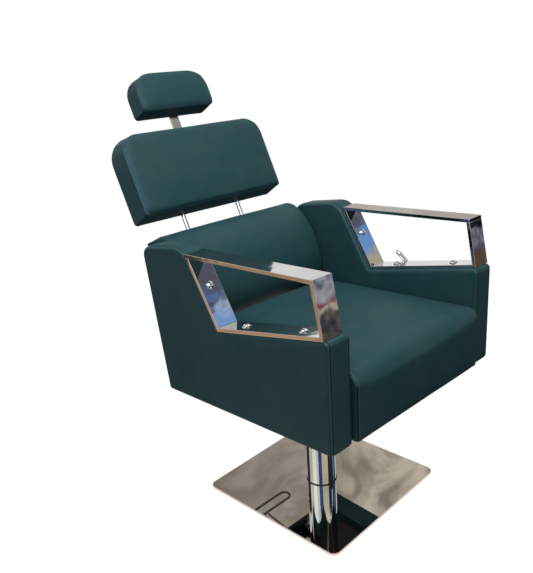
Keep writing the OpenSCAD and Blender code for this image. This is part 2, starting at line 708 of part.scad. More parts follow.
// Where bolt i stands on the bar's inner face, and the turn that points +Z out of the panel
function loop_bolt_frame(i) =
  let (a = loop_outer[3], e = i == 0 ? loop_outer[0] : loop_outer[2], s = [0.545, 0.225, 0.762][i],
    u = unit(e - a), out = i == 0 ? [u[1], -u[0]] * -1 : [-u[1], u[0]] * -1,
    p = a + (e - a) * s + out * loop_t)
  [p, atan2(-out[0], out[1])];
module arm_side(side) {
  color(leather) difference() {
    if (side > 0) arm_body(); else mirror([1, 0, 0]) arm_body();
    slab(side * ply_mid - arm_ply / 2 - seat_fit / 2, side * ply_mid + arm_ply / 2 + seat_fit / 2)
      polygon(concat([for (i = [0:5]) ply_outline(seat_fit / 2)[i] - (i == 0 || i == 5 ? [0, 60] : [0, 0])]));
    at_loop_bolts(side) translate([0, 0, -loop_bolt_len]) cylinder(d = loop_bolt_d + 2 * run, h = loop_bolt_len);
    if (side > 0) {
      translate([0, -lever_y, lever_z]) along_x(arm_in - 5, arm_out + 5, shaft_d + 2);
      translate([0, -lever_y, lever_z]) along_x(ply_mid + arm_ply / 2, arm_out + 5, lever_bush_d + 2 * run);
    }
    scale_x(side) at_fixings() along_x(arm_in - 5, ply_mid, 8 + 2 * run);
  }
}
module scale_x(side) {
  mirror([side > 0 ? 0 : 1, 0, 0]) children();
}
module arm_side_left() arm_side(1);
module arm_side_right() arm_side(-1);
module arm_board(side) {
  color(wood) difference() {
    slab(side * ply_mid - arm_ply / 2, side * ply_mid + arm_ply / 2) polygon(ply_outline(0));
    at_loop_bolts(side) translate([0, 0, -loop_bolt_len]) cylinder(d = loop_bolt_d + 2 * run, h = loop_bolt_len);
    if (side > 0) translate([0, -lever_y, lever_z]) along_x(arm_in, arm_out, shaft_d + 2);
    scale_x(side) at_fixings() along_x(arm_in, ply_mid + 2, 8 + 2 * run);
  }
}
module arm_board_left() arm_board(1);
module arm_board_right() arm_board(-1);
module arm_fixing_bolts() {
  color(steel) both_sides() at_fixings() {
    along_x(frame_w / 2 - plank_t - 5, frame_w / 2 - plank_t, 16);
    along_x(frame_w / 2 - plank_t - 1, ply_mid, 8);
  }
}
module arm_loop(side) {
  inner = shifted(loop_outer, loop_t);
  color(chrome) difference() {
    slab(side > 0 ? arm_out - loop_w : -arm_out, side > 0 ? arm_out : -arm_out + loop_w) difference() {
      polygon(loop_outer);
      polygon(inner);
    }
    at_loop_bolts(side) translate([0, 0, -loop_t - 2]) cylinder(d = loop_bolt_d + 2 * run, h = loop_t + 4);
  }
}
module arm_loop_left() arm_loop(1);
module arm_loop_right() arm_loop(-1);
washer_d = 22;
washer_t = 1.5;
dome_h = 5;
module loop_bolts(side) {
  dome_r = (pow(loop_head_d / 2, 2) + pow(dome_h, 2)) / (2 * dome_h);
  color(chrome) at_loop_bolts(side) {
    cylinder(d = washer_d, h = washer_t);
    translate([0, 0, -loop_bolt_len + 1]) cylinder(d = loop_bolt_d, h = loop_bolt_len);
    translate([0, 0, washer_t]) intersection() {
      translate([0, 0, dome_h - dome_r]) sphere(r = dome_r);
      cylinder(d = loop_head_d, h = dome_h + 1);
    }
  }
}
module loop_bolts_left() loop_bolts(1);
module loop_bolts_right() loop_bolts(-1);

// Recline hinge, strut and lever
ear_x = hinge_x + hinge_t + 0.2;
ear_r = 16;
module hinge_brackets() {
  color(black) both_sides() difference() {
    union() {
      translate([ear_x, frame_back, frame_z + 8]) cube([40, 5, frame_h - 10]);
      slab(ear_x, ear_x + hinge_t) {
        hull() {
          translate([hinge_y, hinge_z]) circle(r = ear_r, $fn = 48);
          translate([frame_back, frame_z + 8]) square([5, frame_h - 10]);
        }
      }
    }
    translate([0, hinge_y, hinge_z]) along_x(ear_x - 1, ear_x + hinge_t + 1, hinge_pin_d + 2 * run);
  }
}
module hinge_pins() {
  color(chrome) translate([0, hinge_y, hinge_z]) both_sides() {
    along_x(hinge_x - 1, ear_x + hinge_t + 1, hinge_pin_d);
    along_x(hinge_x - 5, hinge_x - 0.2, hinge_pin_d + 7);
    along_x(ear_x + hinge_t + 0.2, ear_x + hinge_t + 4, hinge_pin_d + 7);
  }
}
bracket_front = lever_y - 15;
bracket_back = lever_y - 60;
tube_front = lever_y - 45;
tube_len = 190;
socket_fit = 0.1;
module strut_bracket() {
  color([0.6, 0.6, 0.62]) difference() {
    translate([strut_x - 15, -bracket_front, strut_z - 15])
      cube([frame_w / 2 - plank_t - strut_x + 15, bracket_front - bracket_back, 30]);
    translate([strut_x, 0, strut_z]) along_y(-tube_front, -bracket_back + 1, strut_d + 2 * socket_fit);
    translate([strut_x, 0, strut_z]) along_y(-bracket_front - 1, -tube_front + 1, release_d + 2 * run);
  }
}
module strut_tube() {
  color(black) translate([strut_x, 0, strut_z]) difference() {
    along_y(-tube_front, -tube_front + tube_len, strut_d);
    along_y(-tube_front + 12, -tube_front + tube_len + 1, strut_rod_d + 2 * run);
  }
}
release_d = 6;
release_len = 22;
finger_t = 6;
module release_pin() {
  color(steel) translate([strut_x, 0, strut_z]) along_y(-lever_y + finger_t + 0.5, -lever_y + finger_t + release_len, release_d);
}
lever_bush_d = 18;
module lever_bush() {
  color(black) translate([0, -lever_y, lever_z]) difference() {
    union() {
      along_x(ply_mid + arm_ply / 2 + 1, arm_out + 1, lever_bush_d);
      along_x(arm_out + arm_crown + 0.2, arm_out + arm_crown + 1.2, lever_bush_d + 6);
      along_x(arm_out, arm_out + arm_crown + 0.5, lever_bush_d);
    }
    along_x(ply_mid, arm_out + 6, shaft_d + 2 * run);
  }
}
module lever_shaft() {
  color(steel) translate([0, -lever_y, lever_z]) {
    along_x(strut_x - 12, lever_x - lever_d / 2 - 0.5, shaft_d);
    along_x(strut_x - shaft_d, strut_x + shaft_d, shaft_d + 8);
    translate([strut_x - 5, -finger_t, 0]) cube([10, 2 * finger_t, strut_z - lever_z + 4]);
  }
}
module recline_lever() {
  color(chrome) {
    translate([0, -lever_y, lever_z]) along_x(lever_x - lever_d / 2 - 0.5, lever_x + lever_d / 2 + 2.5, 2 * lever_d);
    translate([lever_x, -lever_y, lever_z]) rotate([-lever_lean_low, 0, 0]) {
      cylinder(d = lever_d, h = lever_low);
      translate([0, 0, lever_low]) sphere(d = lever_d + 0.4);
      translate([0, 0, lever_low]) rotate([lever_lean_low - lever_lean_high, 0, 0]) {
        cylinder(d = lever_d, h = lever_high - lever_d / 2);
        translate([0, 0, lever_high - lever_d / 2]) sphere(d = lever_d);
      }
    }
  }
}
eye_r = 12;
eye_slack = 2.5;
strut_pin_d = 8;
module strut_rod() {
  eye_y = hinge_y + lug_r * sin(lug_turn);
  color(chrome) difference() {
    translate([strut_x, 0, strut_z]) union() {
      along_y(-tube_front + tube_len - 110, eye_y - eye_r - 4, strut_rod_d);
      slab(-3, 3) {
        translate([eye_y, 0]) circle(r = eye_r);
        translate([eye_y - eye_r - 10, -strut_rod_d / 2]) square([16, strut_rod_d]);
      }
    }
    translate([0, eye_y, strut_z]) along_x(strut_x - 4, strut_x + 4, strut_pin_d + 2 * eye_slack);
  }
}
lug_at = lug_r * [sin(lug_turn + lean), -cos(lug_turn + lean)];
arm_rise = 120;
module hinge_arms() {
  color(black) on_back() difference() {
    union() {
      both_sides() {
        slab(hinge_x, hinge_x + hinge_t) {
          circle(r = ear_r);
          translate([0, -ear_r]) square([board_back + flange_t, 2 * ear_r - 2]);
        }
        translate([hinge_x - 20, board_back, -ear_r]) cube([44, flange_t, arm_rise + ear_r]);
      }
      slab(hinge_x, hinge_x + hinge_t) hull() {
        circle(r = ear_r - 2, $fn = 48);
        translate(lug_at) circle(r = 10, $fn = 48);
      }
      translate([0, lug_at[0], lug_at[1]]) {
        along_x(hinge_x - 10, hinge_x + 1, strut_pin_d);
        along_x(hinge_x - 12, hinge_x - 8, strut_pin_d + 10);
      }
    }
    both_sides() along_x(hinge_x - 1, hinge_x + hinge_t + 1, hinge_pin_d + 2 * run);
  }
}

// Lower back
module lumbar_board() {
  color(wood) on_back() translate([-bolster_w / 2 + 12, board_d, bolster_low + 5])
    cube([bolster_w - 24, back_ply, bolster_h - 24]);
}
bolster_edge = 10;
bolster_back = board_d - seat_fit;
// The cushion's D in (d, v), from its foot round the front to its top
function bolster_path(e, c) = let (b = bolster_h / 2 - e, mid = bolster_low + bolster_h / 2, a = bolster_bulge - e + c)
  [for (j = [-8:8]) let (t = j * 11.25) [-a * pow(cos(t), 0.9), mid + b * sin(t)]];
function bolster_ring(x) = let (half = bolster_w / 2, e = drawn(x, half, bolster_edge), c = 6 * (1 - pow(x / half, 2)),
    path = bolster_path(e, c), n = len(path))
  concat(
    [for (p = path) [x, p[0], p[1]]],
    [for (i = [n - 1:-1:0]) [x, bolster_back, path[0][1] + (path[n - 1][1] - path[0][1]) * i / (n - 1)]]);
channel_x = 14;
module lumbar_cushion() {
  color(leather) on_back() difference() {
    folded_skin([for (x = stations(bolster_w / 2, bolster_edge)) bolster_ring(x)]);
    both_sides() translate([rod_x - channel_x - seat_fit, block_front - seat_fit, bolster_low + 35])
      cube([2 * channel_x + 2 * seat_fit, block_t + 10, bolster_h]);
  }
}
module lumbar_cover() {
  color(leather) on_back() pad_cover(bolster_w, bolster_low + bolster_h + 52, -60, 16, board_back + flange_t + seat_fit,
    cover_d, 8);
}
module back_rods() {
  color(chrome) on_back() for (x = [-rod_x, rod_x]) translate([x, rod_depth, rod_low]) {
    cylinder(d = rod_d, h = rod_len - rod_d / 2);
    translate([0, 0, rod_len - rod_d / 2]) sphere(d = rod_d);
  }
}
clamp_h = 40;
clamp_v = [rod_low + 2, bolster_low + bolster_h - 90];
module rod_clamps() {
  color(steel) on_back() difference() {
    for (x = [-rod_x, rod_x], v = clamp_v)
      translate([x - channel_x, block_front, v]) cube([2 * channel_x, block_t, clamp_h]);
    for (x = [-rod_x, rod_x]) translate([x, rod_depth, rod_low - 5]) cylinder(d = rod_d + 2 * run, h = rod_len);
  }
}

// Pads on a board: a rounded outline, drawn in at the sides, foot and top
function pad_outline(w, h, low, top_r, sides, foot, top) =
  let (x = w / 2 - sides, a = low + foot, b = low + h - top, r = max(2, top_r - top * 1.3), q = max(2, 12 - foot * 0.5))
  rounded([[x, a], [x, b], [-x, b], [-x, a]], [q, r, r, q], 6);
function pad_ring(w, h, low, top_r, in, taper, d) =
  [for (p = pad_outline(w, h, low, top_r, in + taper[0], in + taper[1], in + taper[2])) [p[0], d, p[1]]];
// The pad tapers from its rear edge to its seam, then crowns over its face
module pad(w, h, low, top_r, back, t, crown, taper) {
  seam = back - t;
  deep = min(w, h - taper[1] - taper[2]) / 2;
  mid = low + (h + taper[1] - taper[2]) / 2;
  skin(concat(
      [pad_ring(w, h, low, top_r, 3, taper * 0, back)],
      [pad_ring(w, h, low, top_r, 0.5, taper * 0, back - 3)],
      [for (s = [0.4, 0.7]) pad_ring(w, h, low, top_r, 0.5, taper * s, back - t * s)],
      [pad_ring(w, h, low, top_r, 0.5, taper * 0.9, seam + t * 0.1)],
      [pad_ring(w, h, low, top_r, 1.5, taper, seam + 1.5)],
      [for (s = [0.04, 0.12, 0.25, 0.42, 0.62, 0.8])
        pad_ring(w, h, low, top_r, 2 + (deep - 2) * s, taper, seam - crown * (1 - pow(1 - s, 2.2)))]),
    [0, back, mid], [0, seam - crown, mid]);
}
upper_seam = board_back - upper_t;
guide_wall = 3;
slot_x = strap_w / 2 + guide_wall + seat_fit;
module upper_board() {
  color(wood) on_back() difference() {
    translate([-upper_w / 2 + 16, board_d, upper_low + 10]) cube([upper_w - 32, back_ply, upper_h - 40]);
    translate([-slot_x, board_d - 1, strap_low - 48]) cube([2 * slot_x, back_ply + 2, upper_h]);
  }
}
module upper_cushion() {
  color(leather) on_back() difference() {
    pad(upper_w, upper_h, upper_low, upper_corner, board_back, upper_t, upper_crown, upper_taper);
    translate([-upper_w / 2 + 16 - seat_fit, board_d - seat_fit, upper_low + 10 - seat_fit])
      cube([upper_w - 32 + 2 * seat_fit, back_ply + 10, upper_h - 40 + 2 * seat_fit]);
    both_sides() translate([rod_x - 10 - seat_fit, block_front - seat_fit, upper_low - 20])
      cube([20 + 2 * seat_fit, block_t + 2, socket_low - upper_low + socket_len + 40]);
    translate([-strap_w / 2 - guide_wall - seat_fit, strap_front - guide_wall - seat_fit, guide_low])
      cube([strap_w + 2 * guide_wall + 2 * seat_fit, 20, upper_h]);
  }
}
// A flat rear cover with the pad's outline, drawn in by its margin
module pad_cover(w, h, low, top_r, front, t, margin) {
  translate([0, front + t, 0]) rotate([90, 0, 0]) linear_extrude(t)
    polygon(pad_outline(w, h, low, top_r, margin, margin, margin));
}
module upper_cover() {
  color(leather) on_back() difference() {
    pad_cover(upper_w, upper_h, upper_low, upper_corner, board_back + seat_fit, cover_d, 7);
    translate([-44, board_back - 1, strap_low - 48]) cube([88, guide_wall + 1.5 + seat_fit, upper_h]);
  }
}
module rod_sockets() {
  color(steel) on_back() difference() {
    for (x = [-rod_x, rod_x]) translate([x - 10, block_front, socket_low]) cube([20, block_t, socket_len]);
    for (x = [-rod_x, rod_x]) translate([x, rod_depth, socket_low - 5]) cylinder(d = rod_d + 2 * run, h = socket_len + 10);
  }
}
module headrest_guide() {
  wall = guide_wall;
  color(steel) on_back() difference() {
    union() {
      translate([-strap_w / 2 - wall, strap_front - wall, guide_low]) cube([strap_w + 2 * wall, strap_t + 2 * wall, guide_len]);
      translate([-42, board_back, guide_low + 8]) cube([84, strap_front + strap_t + wall - board_back, guide_len - 24]);
    }
    translate([-strap_w / 2 - run, strap_front - run, guide_low - 1]) cube([strap_w + 2 * run, strap_t + 2 * run, guide_len + 2]);
  }
}

// Headrest
head_board_front = strap_front + strap_t;
head_back = head_board_front + back_ply;
screw_v = [head_low + 34, head_low + 62, head_low + 90];
module headrest_strap() {
  color(chrome) on_back() difference() {
    translate([-strap_w / 2, strap_front, strap_low]) cube([strap_w, strap_t, strap_len]);
    for (v = screw_v) translate([0, 0, v]) along_y(strap_front - 1, head_board_front + 1, 5 + 2 * run);
  }
}
module headrest_board() {
  color(wood) on_back() difference() {
    translate([-head_w / 2 + 14, head_board_front, head_low + 9]) cube([head_w - 28, back_ply, head_height - 36]);
    for (v = screw_v) translate([0, 0, v]) along_y(head_board_front - 1, head_board_front + back_ply - 2, 5 + 2 * run);
  }
}
module headrest_cushion() {
  color(leather) on_back() difference() {
    pad(head_w, head_height, head_low, head_corner, head_back, head_t, head_crown, head_taper);
    translate([-head_w / 2 + 14 - seat_fit, head_board_front - seat_fit, head_low + 9 - seat_fit])
      cube([head_w - 28 + 2 * seat_fit, back_ply + 10, head_height - 36 + 2 * seat_fit]);
    translate([-strap_w / 2 - seat_fit, strap_front - 4, head_low - 20]) cube([strap_w + 2 * seat_fit, strap_t + 8, 126]);
  }
}
module headrest_cover() {
  color(leather) on_back() pad_cover(head_w, head_height, head_low, head_corner, head_back + seat_fit, 4, 6);
}
module strap_screws() {
  color(steel) on_back() for (v = screw_v) translate([0, 0, v]) {
    along_y(strap_front - 3, strap_front, 10);
    along_y(strap_front - 1, head_board_front + back_ply - 2.5, 5);
  }
}

floor_mat();
base_plate();
base_screws();
foot_disc();
column_gasket();
column_tube();
ram_rod();
ram_piston();
piston_seal();
guide_bush();
pump_jacket();
pressure_tube();
ram_gland();
pump_head();
mounting_plate();
pump_bolts();
pedal();
pedal_pin();
seat_rails();
rail_screws();
dust_cover();
seat_frame();
seat_board();
seat_cushion();
arm_board_left();
arm_board_right();
arm_side_left();
arm_side_right();
arm_fixing_bolts();
arm_loop_left();
arm_loop_right();
loop_bolts_left();
loop_bolts_right();
hinge_brackets();
hinge_pins();
strut_bracket();
strut_tube();
lever_bush();
release_pin();
lever_shaft();
recline_lever();
strut_rod();
hinge_arms();
lumbar_board();
lumbar_cushion();
lumbar_cover();
back_rods();
rod_clamps();
upper_board();
upper_cushion();
upper_cover();
rod_sockets();
headrest_guide();
headrest_strap();
headrest_board();
headrest_cushion();
headrest_cover();
strap_screws();
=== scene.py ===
# %% [markdown]
# # Dressing a threading chair
#
# The chair's solids come packed from its construction. This lesson gives them the looks of the real one:
# soft upholstery in a dark teal artificial leather, chrome armrest loops, and a mirror-polished base plate.
# Everything is in metres, in the frame of the solids: the floor is z = 0, the sitter faces -Y, and the
# sitter's left is +X.

# %% Load the frame
import json
import math

import bmesh
import bpy
import numpy as np
from mathutils import Matrix, Vector


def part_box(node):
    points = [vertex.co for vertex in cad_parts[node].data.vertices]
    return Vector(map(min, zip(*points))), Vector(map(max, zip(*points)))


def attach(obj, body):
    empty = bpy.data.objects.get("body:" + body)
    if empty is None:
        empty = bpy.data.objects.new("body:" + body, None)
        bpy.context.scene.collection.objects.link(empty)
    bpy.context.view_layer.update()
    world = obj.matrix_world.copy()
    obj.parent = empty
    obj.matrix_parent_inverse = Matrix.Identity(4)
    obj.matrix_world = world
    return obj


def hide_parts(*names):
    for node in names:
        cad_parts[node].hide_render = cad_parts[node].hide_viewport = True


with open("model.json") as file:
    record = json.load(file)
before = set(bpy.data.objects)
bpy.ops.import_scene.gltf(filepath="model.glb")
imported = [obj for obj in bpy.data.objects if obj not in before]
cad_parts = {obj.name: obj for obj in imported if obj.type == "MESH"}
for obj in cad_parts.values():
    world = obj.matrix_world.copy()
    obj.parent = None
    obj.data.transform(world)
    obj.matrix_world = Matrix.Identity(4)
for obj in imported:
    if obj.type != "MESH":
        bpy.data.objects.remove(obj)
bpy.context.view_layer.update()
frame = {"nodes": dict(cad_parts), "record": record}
nodes = frame["nodes"]

# %% [markdown]
# ## The camera
# The view is worked out from the photograph: its place, the way it looks, and its slight roll. A camera
# could be aimed by hand, but lines that run away from it only match when the place and the lens are both
# right.

# %% Camera
def add_camera(place, azimuth, pitch, roll, lens):
    """A camera that looks along +Y at azimuth 0, with angles in degrees."""
    az, dip, tilt = (math.radians(a) for a in (azimuth, pitch, roll))
    ahead = Vector((-math.sin(az) * math.cos(dip), math.cos(az) * math.cos(dip), -math.sin(dip)))
    level = Vector((math.cos(az), math.sin(az), 0))
    above = level.cross(ahead)
    right = math.cos(tilt) * level + math.sin(tilt) * above
    up = -math.sin(tilt) * level + math.cos(tilt) * above
    data = bpy.data.cameras.new("photo_camera")
    data.sensor_width, data.lens, data.clip_start = 36, lens, 0.01
    camera = bpy.data.objects.new("photo_camera", data)
    turn = Matrix((right, up, -ahead)).transposed()
    camera.matrix_world = Matrix.Translation(place) @ turn.to_4x4()
    bpy.context.scene.collection.objects.link(camera)
    bpy.context.scene.camera = camera


add_camera((-1.2097, -1.1266, 1.1671), azimuth=-42.774, pitch=18.919, roll=-3.840, lens=41.87)
print("camera looks at the seat from the sitter's front right")

# %% [markdown]
# ## Shader maths as plain expressions
# A material is a graph of small nodes, and wiring each by hand hides the idea. Here a socket is wrapped so
# that `grain * 0.5 + slack` builds the Math nodes by itself. Colours are mixed by Mix nodes, since a Math
# node would turn them grey. The same class wires the world's nodes.

# %% Sockets that do maths
class Sig:
    """A shader socket that turns + - * and | into Math nodes."""

    def __init__(self, graph, socket):
        self.graph, self.socket = graph, socket

    def _math(self, operation, other):
        return self.graph.node("ShaderNodeMath", {"operation": operation}, {0: self, 1: other})

    def __add__(self, other):
        return self._math("ADD", other)

    def __sub__(self, other):
        return self._math("SUBTRACT", other)

    def __mul__(self, other):
        return self._math("MULTIPLY", other)

    def __or__(self, other):
        return self._math("MAXIMUM", other)

    def ramp(self, low, high):
        """0 below low, 1 above high, and a smooth step between."""
        kind = {"interpolation_type": "SMOOTHSTEP"}
        return self.graph.node("ShaderNodeMapRange", kind, {"Value": self, "From Min": low, "From Max": high})


class Graph:
    """A node tree, and what adds nodes to it."""

    def __init__(self, tree):
        self.tree = tree

    def set(self, node, sockets):
        for key, value in sockets.items():
            socket = node.inputs[key.replace("_", " ") if isinstance(key, str) else key]
            if isinstance(value, Sig):
                self.tree.links.new(value.socket, socket)
            elif isinstance(value, tuple) and len(value) == 3 and socket.type == "RGBA":
                socket.default_value = (*value, 1)
            else:
                socket.default_value = value

    def node(self, kind, settings=None, sockets=None, out=0):
        node = self.tree.nodes.new(kind)
        for key, value in (settings or {}).items():
            setattr(node, key, value)
        self.set(node, sockets or {})
        return Sig(self, node.outputs[out])

    def rays(self, *kinds):
        """1 where a ray is of one of these kinds."""
        found, *others = (self.node("ShaderNodeLightPath", out=f"Is {kind} Ray") for kind in kinds)
        for other in others:
            found = found | other
        return found


class Finish(Graph):
    """A new material and its Principled shader."""

    def __init__(self, name, **sockets):
        self.material = bpy.data.materials.new(name)
        self.material.use_nodes = True
        super().__init__(self.material.node_tree)
        self.shader = self.tree.nodes["Principled BSDF"]
        self.set(self.shader, sockets)

    def place(self):
        """Where the point is on the object, in metres."""
        return self.node("ShaderNodeTexCoord", out=3)

    def stretched(self, scale):
        """The place with each axis scaled, for brushed and woven looks."""
        return self.node("ShaderNodeMapping", sockets={"Vector": self.place(), "Scale": scale})

    def noise(self, scale, detail=2.0, at=None, roughness=0.5, twist=0.0, kind="FBM"):
        sockets = {"Vector": at or self.place(), "Scale": scale, "Detail": detail, "Roughness": roughness,
                   "Distortion": twist}
        return self.node("ShaderNodeTexNoise", {"noise_type": kind}, sockets)

    def mix(self, factor, first, second):
        """Two colours, blended by factor."""
        node = self.tree.nodes.new("ShaderNodeMix")
        node.data_type = "RGBA"
        self.set(node, {0: factor, 6: first, 7: second})
        return Sig(self, node.outputs[2])

    def patchy(self, scale, colour, spread):
        """A colour with slightly darker patches."""
        return self.mix(self.noise(scale, 3.0).ramp(0.3, 0.7), colour, tuple(spread * c for c in colour))

    def bump(self, height, depth, strength=1.0):
        """Raises the surface by height times depth, in metres."""
        normal = self.node("ShaderNodeBump", sockets={"Height": height, "Distance": depth, "Strength": strength})
        self.set(self.shader, {"Normal": normal})

    def look(self, **sockets):
        self.set(self.shader, sockets)
        return self.material


print("helpers ready")

# %% [markdown]
# ## The leather
# The real cover is a smooth artificial leather: a fine pebble grain and a satin sheen that is broken up by
# slack and handling. A lighter teal is painted along the seams' shoulders as a highlight, and a near-black one
# down in the seams as painted shade. A photo texture would need unwrapping and would repeat, so noise in the
# object's own space gives the grain at its real size, about a millimetre.

# %% Leather
TEAL = (0.020, 0.072, 0.086)
TEAL_WORN = (0.032, 0.082, 0.090)
THREAD = (0.006, 0.022, 0.028)
PEBBLES = 700.0  # grains in a metre


def leather(name, colour=TEAL, worn=TEAL_WORN):
    f = Finish(name, Specular_IOR_Level=0.15)
    pebbles = f.node("ShaderNodeTexVoronoi", {"feature": "F1"},
                     {"Vector": f.place(), "Scale": PEBBLES, "Randomness": 0.9})
    creases = f.noise(260.0, 3.0)
    slack = f.noise(9.0, 2.0)
    handling = f.noise(34.0, 4.0)
    f.bump(pebbles * 0.35 + creases * 0.45 + slack * 5.0, 0.0004, 0.55)
    patches = (slack * 0.6 + handling * 0.4).ramp(0.36, 0.68)
    return f.look(Base_Color=f.mix(patches, colour, worn), Roughness=handling * 0.14 + pebbles * 0.06 + 0.40)


cover_leather = leather("teal_leather")
# Near-black leather: painted shade down in the seams.
seam_leather = leather("seam_leather", (0.003, 0.010, 0.013), (0.005, 0.013, 0.016))
# Lighter leather: a painted highlight along the seams' shoulders.
rubbed_leather = leather("rubbed_leather", (0.036, 0.098, 0.112), (0.046, 0.106, 0.116))
print("leather grain is about", round(1000 / PEBBLES, 1), "mm across")

# %% [markdown]
# ## The metals
# Chrome shows what stands round it, so its own colour is nearly plain; fine wipe marks in the roughness and
# a very shallow waviness keep it from looking like a computer's perfect mirror. The base plate is thin
# polished sheet: it bends a little over its span, so reflections in it swim.

# %% Metals
def chrome(name, colour=(0.60, 0.59, 0.575), tint=(0.50, 0.50, 0.51), wave=0.0004, rough=0.05, scale=22.0):
    f = Finish(name, Metallic=1.0)
    wipes = f.noise(60.0, 5.0, at=f.stretched((1, 0.25, 1)), roughness=0.6)
    dull = f.noise(7.0, 3.0)
    f.bump(f.noise(scale, 1.0), wave, 0.6)
    return f.look(Base_Color=f.mix(dull.ramp(0.35, 0.7), colour, tint),
                  Roughness=wipes.ramp(0.4, 0.8) * 0.07 + rough)


def brushed(name, colour):
    f = Finish(name, Metallic=1.0)
    strokes = f.noise(90.0, 4.0, at=f.stretched((1, 14, 1)))
    f.bump(strokes, 0.0001, 0.5)
    return f.look(Base_Color=f.patchy(14.0, colour, 0.7), Roughness=strokes * 0.25 + 0.25)


def mottled(name, colour, rough, grain=350.0, depth=0.0002, metallic=0.0, spread=0.75):
    """A plain paint, rubber, plastic or cast finish with a fine grain and slight patches."""
    f = Finish(name, Metallic=metallic)
    speckle = f.noise(grain, 3.0)
    f.bump(speckle, depth, 0.5)
    return f.look(Base_Color=f.patchy(18.0, colour, spread), Roughness=speckle * 0.15 + rough)


def polished_sheet(name):
    """Thin polished sheet with faint clouds in its colour, partly wiping marks and partly a painted reflection of
    cloudy surroundings. Its sawn rim is only satin.
    """
    f = Finish(name, Metallic=1.0)
    f.bump(f.noise(5.0, 1.0), 0.0007, 0.5)
    normal = f.node("ShaderNodeTexCoord", out=1)
    face = f.node("ShaderNodeSeparateXYZ", sockets={"Vector": normal}, out=2).ramp(0.2, 0.6)
    # The clouds tint the mirror: partly wiping marks, partly a painted reflection.
    clouds = f.noise(9.0, 4.0)
    tone = f.mix(clouds.ramp(0.35, 0.65), (0.82, 0.81, 0.79), (0.72, 0.71, 0.69))
    return f.look(Base_Color=f.mix(face, (0.66, 0.53, 0.45), tone), Roughness=clouds * 0.02 + 0.33 - face * 0.32)


plate_mirror = polished_sheet("plate_mirror")
nickel = chrome("strap_nickel", (0.33, 0.32, 0.275), (0.25, 0.24, 0.21), rough=0.14)
loop_chrome = chrome("loop_chrome", wave=0.0005, scale=24.0)
column_chrome = chrome("column_chrome", wave=0.0002, rough=0.03)
pedal_steel = chrome("pedal_steel", (0.115, 0.095, 0.085), (0.07, 0.058, 0.05), rough=0.16)
machined = brushed("machined_steel", (0.42, 0.43, 0.45))
black_paint = mottled("black_paint", (0.020, 0.020, 0.022), 0.38)
black_rubber = mottled("black_rubber", (0.018, 0.018, 0.018), 0.62, 500.0)
white_nylon = mottled("white_nylon", (0.70, 0.69, 0.64), 0.42, spread=0.9)
cast_alloy = mottled("cast_alloy", (0.50, 0.50, 0.52), 0.40, 420.0, 0.0003, 1.0)
bronze = mottled("bearing_bronze", (0.55, 0.36, 0.15), 0.32, 300.0, 0.0001, 1.0)
print("metals ready")

# %% [markdown]
# ## Wood and dust cloth
# They are out of sight in the photograph, but anyone who tips the chair or opens it sees them. Rings
# stretched along one axis make the planks, and two crossed waves make the woven cloth under the seat.

# %% Wood and cloth
def planks(name):
    f = Finish(name)
    rings = f.noise(16.0, 4.0, at=f.stretched((1, 9, 9)), roughness=0.6)
    f.bump(rings, 0.0004, 0.4)
    grain = f.mix(rings.ramp(0.35, 0.65), (0.50, 0.34, 0.18), (0.32, 0.19, 0.09))
    return f.look(Base_Color=grain, Roughness=rings * 0.2 + 0.5)


def woven(name, colour):
    f = Finish(name)
    waves = [f.node("ShaderNodeTexWave", {"bands_direction": axis}, {"Vector": f.place(), "Scale": 160.0}, out=1)
             for axis in ("X", "Y")]
    weave = waves[0] * waves[1]
    f.bump(weave, 0.0004, 0.7)
    return f.look(Base_Color=f.mix(weave, colour, tuple(3 * c for c in colour)), Roughness=weave * 0.1 + 0.78)


raw_wood = planks("raw_wood")
dust_cloth = woven("dust_cloth", (0.012, 0.012, 0.013))
print("wood and cloth ready")

# %% [markdown]
# ## Dressing the solids
# A turned or sawn metal part is right as it is, except that its edges are mathematically sharp. A real edge
# is broken, and the thin highlight along it tells the eye that it is metal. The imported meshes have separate
# corners at each face, so they are welded first and then bevelled where two faces meet at an angle.
# Splitting the shading there keeps the flat faces flat in what they mirror.

# %% Metal nodes keep their solids
BROKEN_ABOVE, CRISP_ABOVE, SAME_POINT = math.radians(40), math.radians(20), 1e-6


def break_edges(obj, width):
    obj.modifiers.new("weld", "WELD").merge_threshold = SAME_POINT
    bevel = obj.modifiers.new("broken_edge", "BEVEL")
    bevel.width, bevel.segments, bevel.limit_method, bevel.angle_limit = width, 2, "ANGLE", BROKEN_ABOVE
    obj.modifiers.new("crisp_shading", "EDGE_SPLIT").split_angle = CRISP_ABOVE


def dress(names, material, edge=0.0):
    for name in names.split():
        obj = nodes[name]
        obj.data.materials.clear()
        obj.data.materials.append(material)
        if edge:
            break_edges(obj, edge)


dress("column_tube pump_jacket ram_rod pump_bolts hinge_pins strut_rod loop_bolts_left loop_bolts_right",
      column_chrome, 0.0003)
dress("pedal", pedal_steel, 0.0003)
dress("back_rods", column_chrome, 0.0006)
dress("headrest_strap", nickel, 0.0006)
dress("base_plate", plate_mirror, 0.0012)
dress("base_screws foot_disc ram_piston pressure_tube mounting_plate pedal_pin seat_rails rail_screws "
      "arm_fixing_bolts release_pin lever_shaft rod_clamps rod_sockets headrest_guide strap_screws", machined, 0.0004)
dress("pump_head hinge_brackets hinge_arms strut_tube lever_bush", black_paint, 0.0006)
dress("floor_mat column_gasket piston_seal", black_rubber)
dress("guide_bush", white_nylon, 0.0006)
dress("strut_bracket", cast_alloy, 0.0008)
dress("ram_gland", bronze)
dress("seat_frame seat_board arm_board_left arm_board_right upper_board", raw_wood, 0.0008)
dress("lumbar_board headrest_board", cover_leather, 0.0008)
dress("dust_cover", dust_cloth)
print("dressed", sum(len(o.modifiers) for o in nodes.values()), "modifiers on solids")

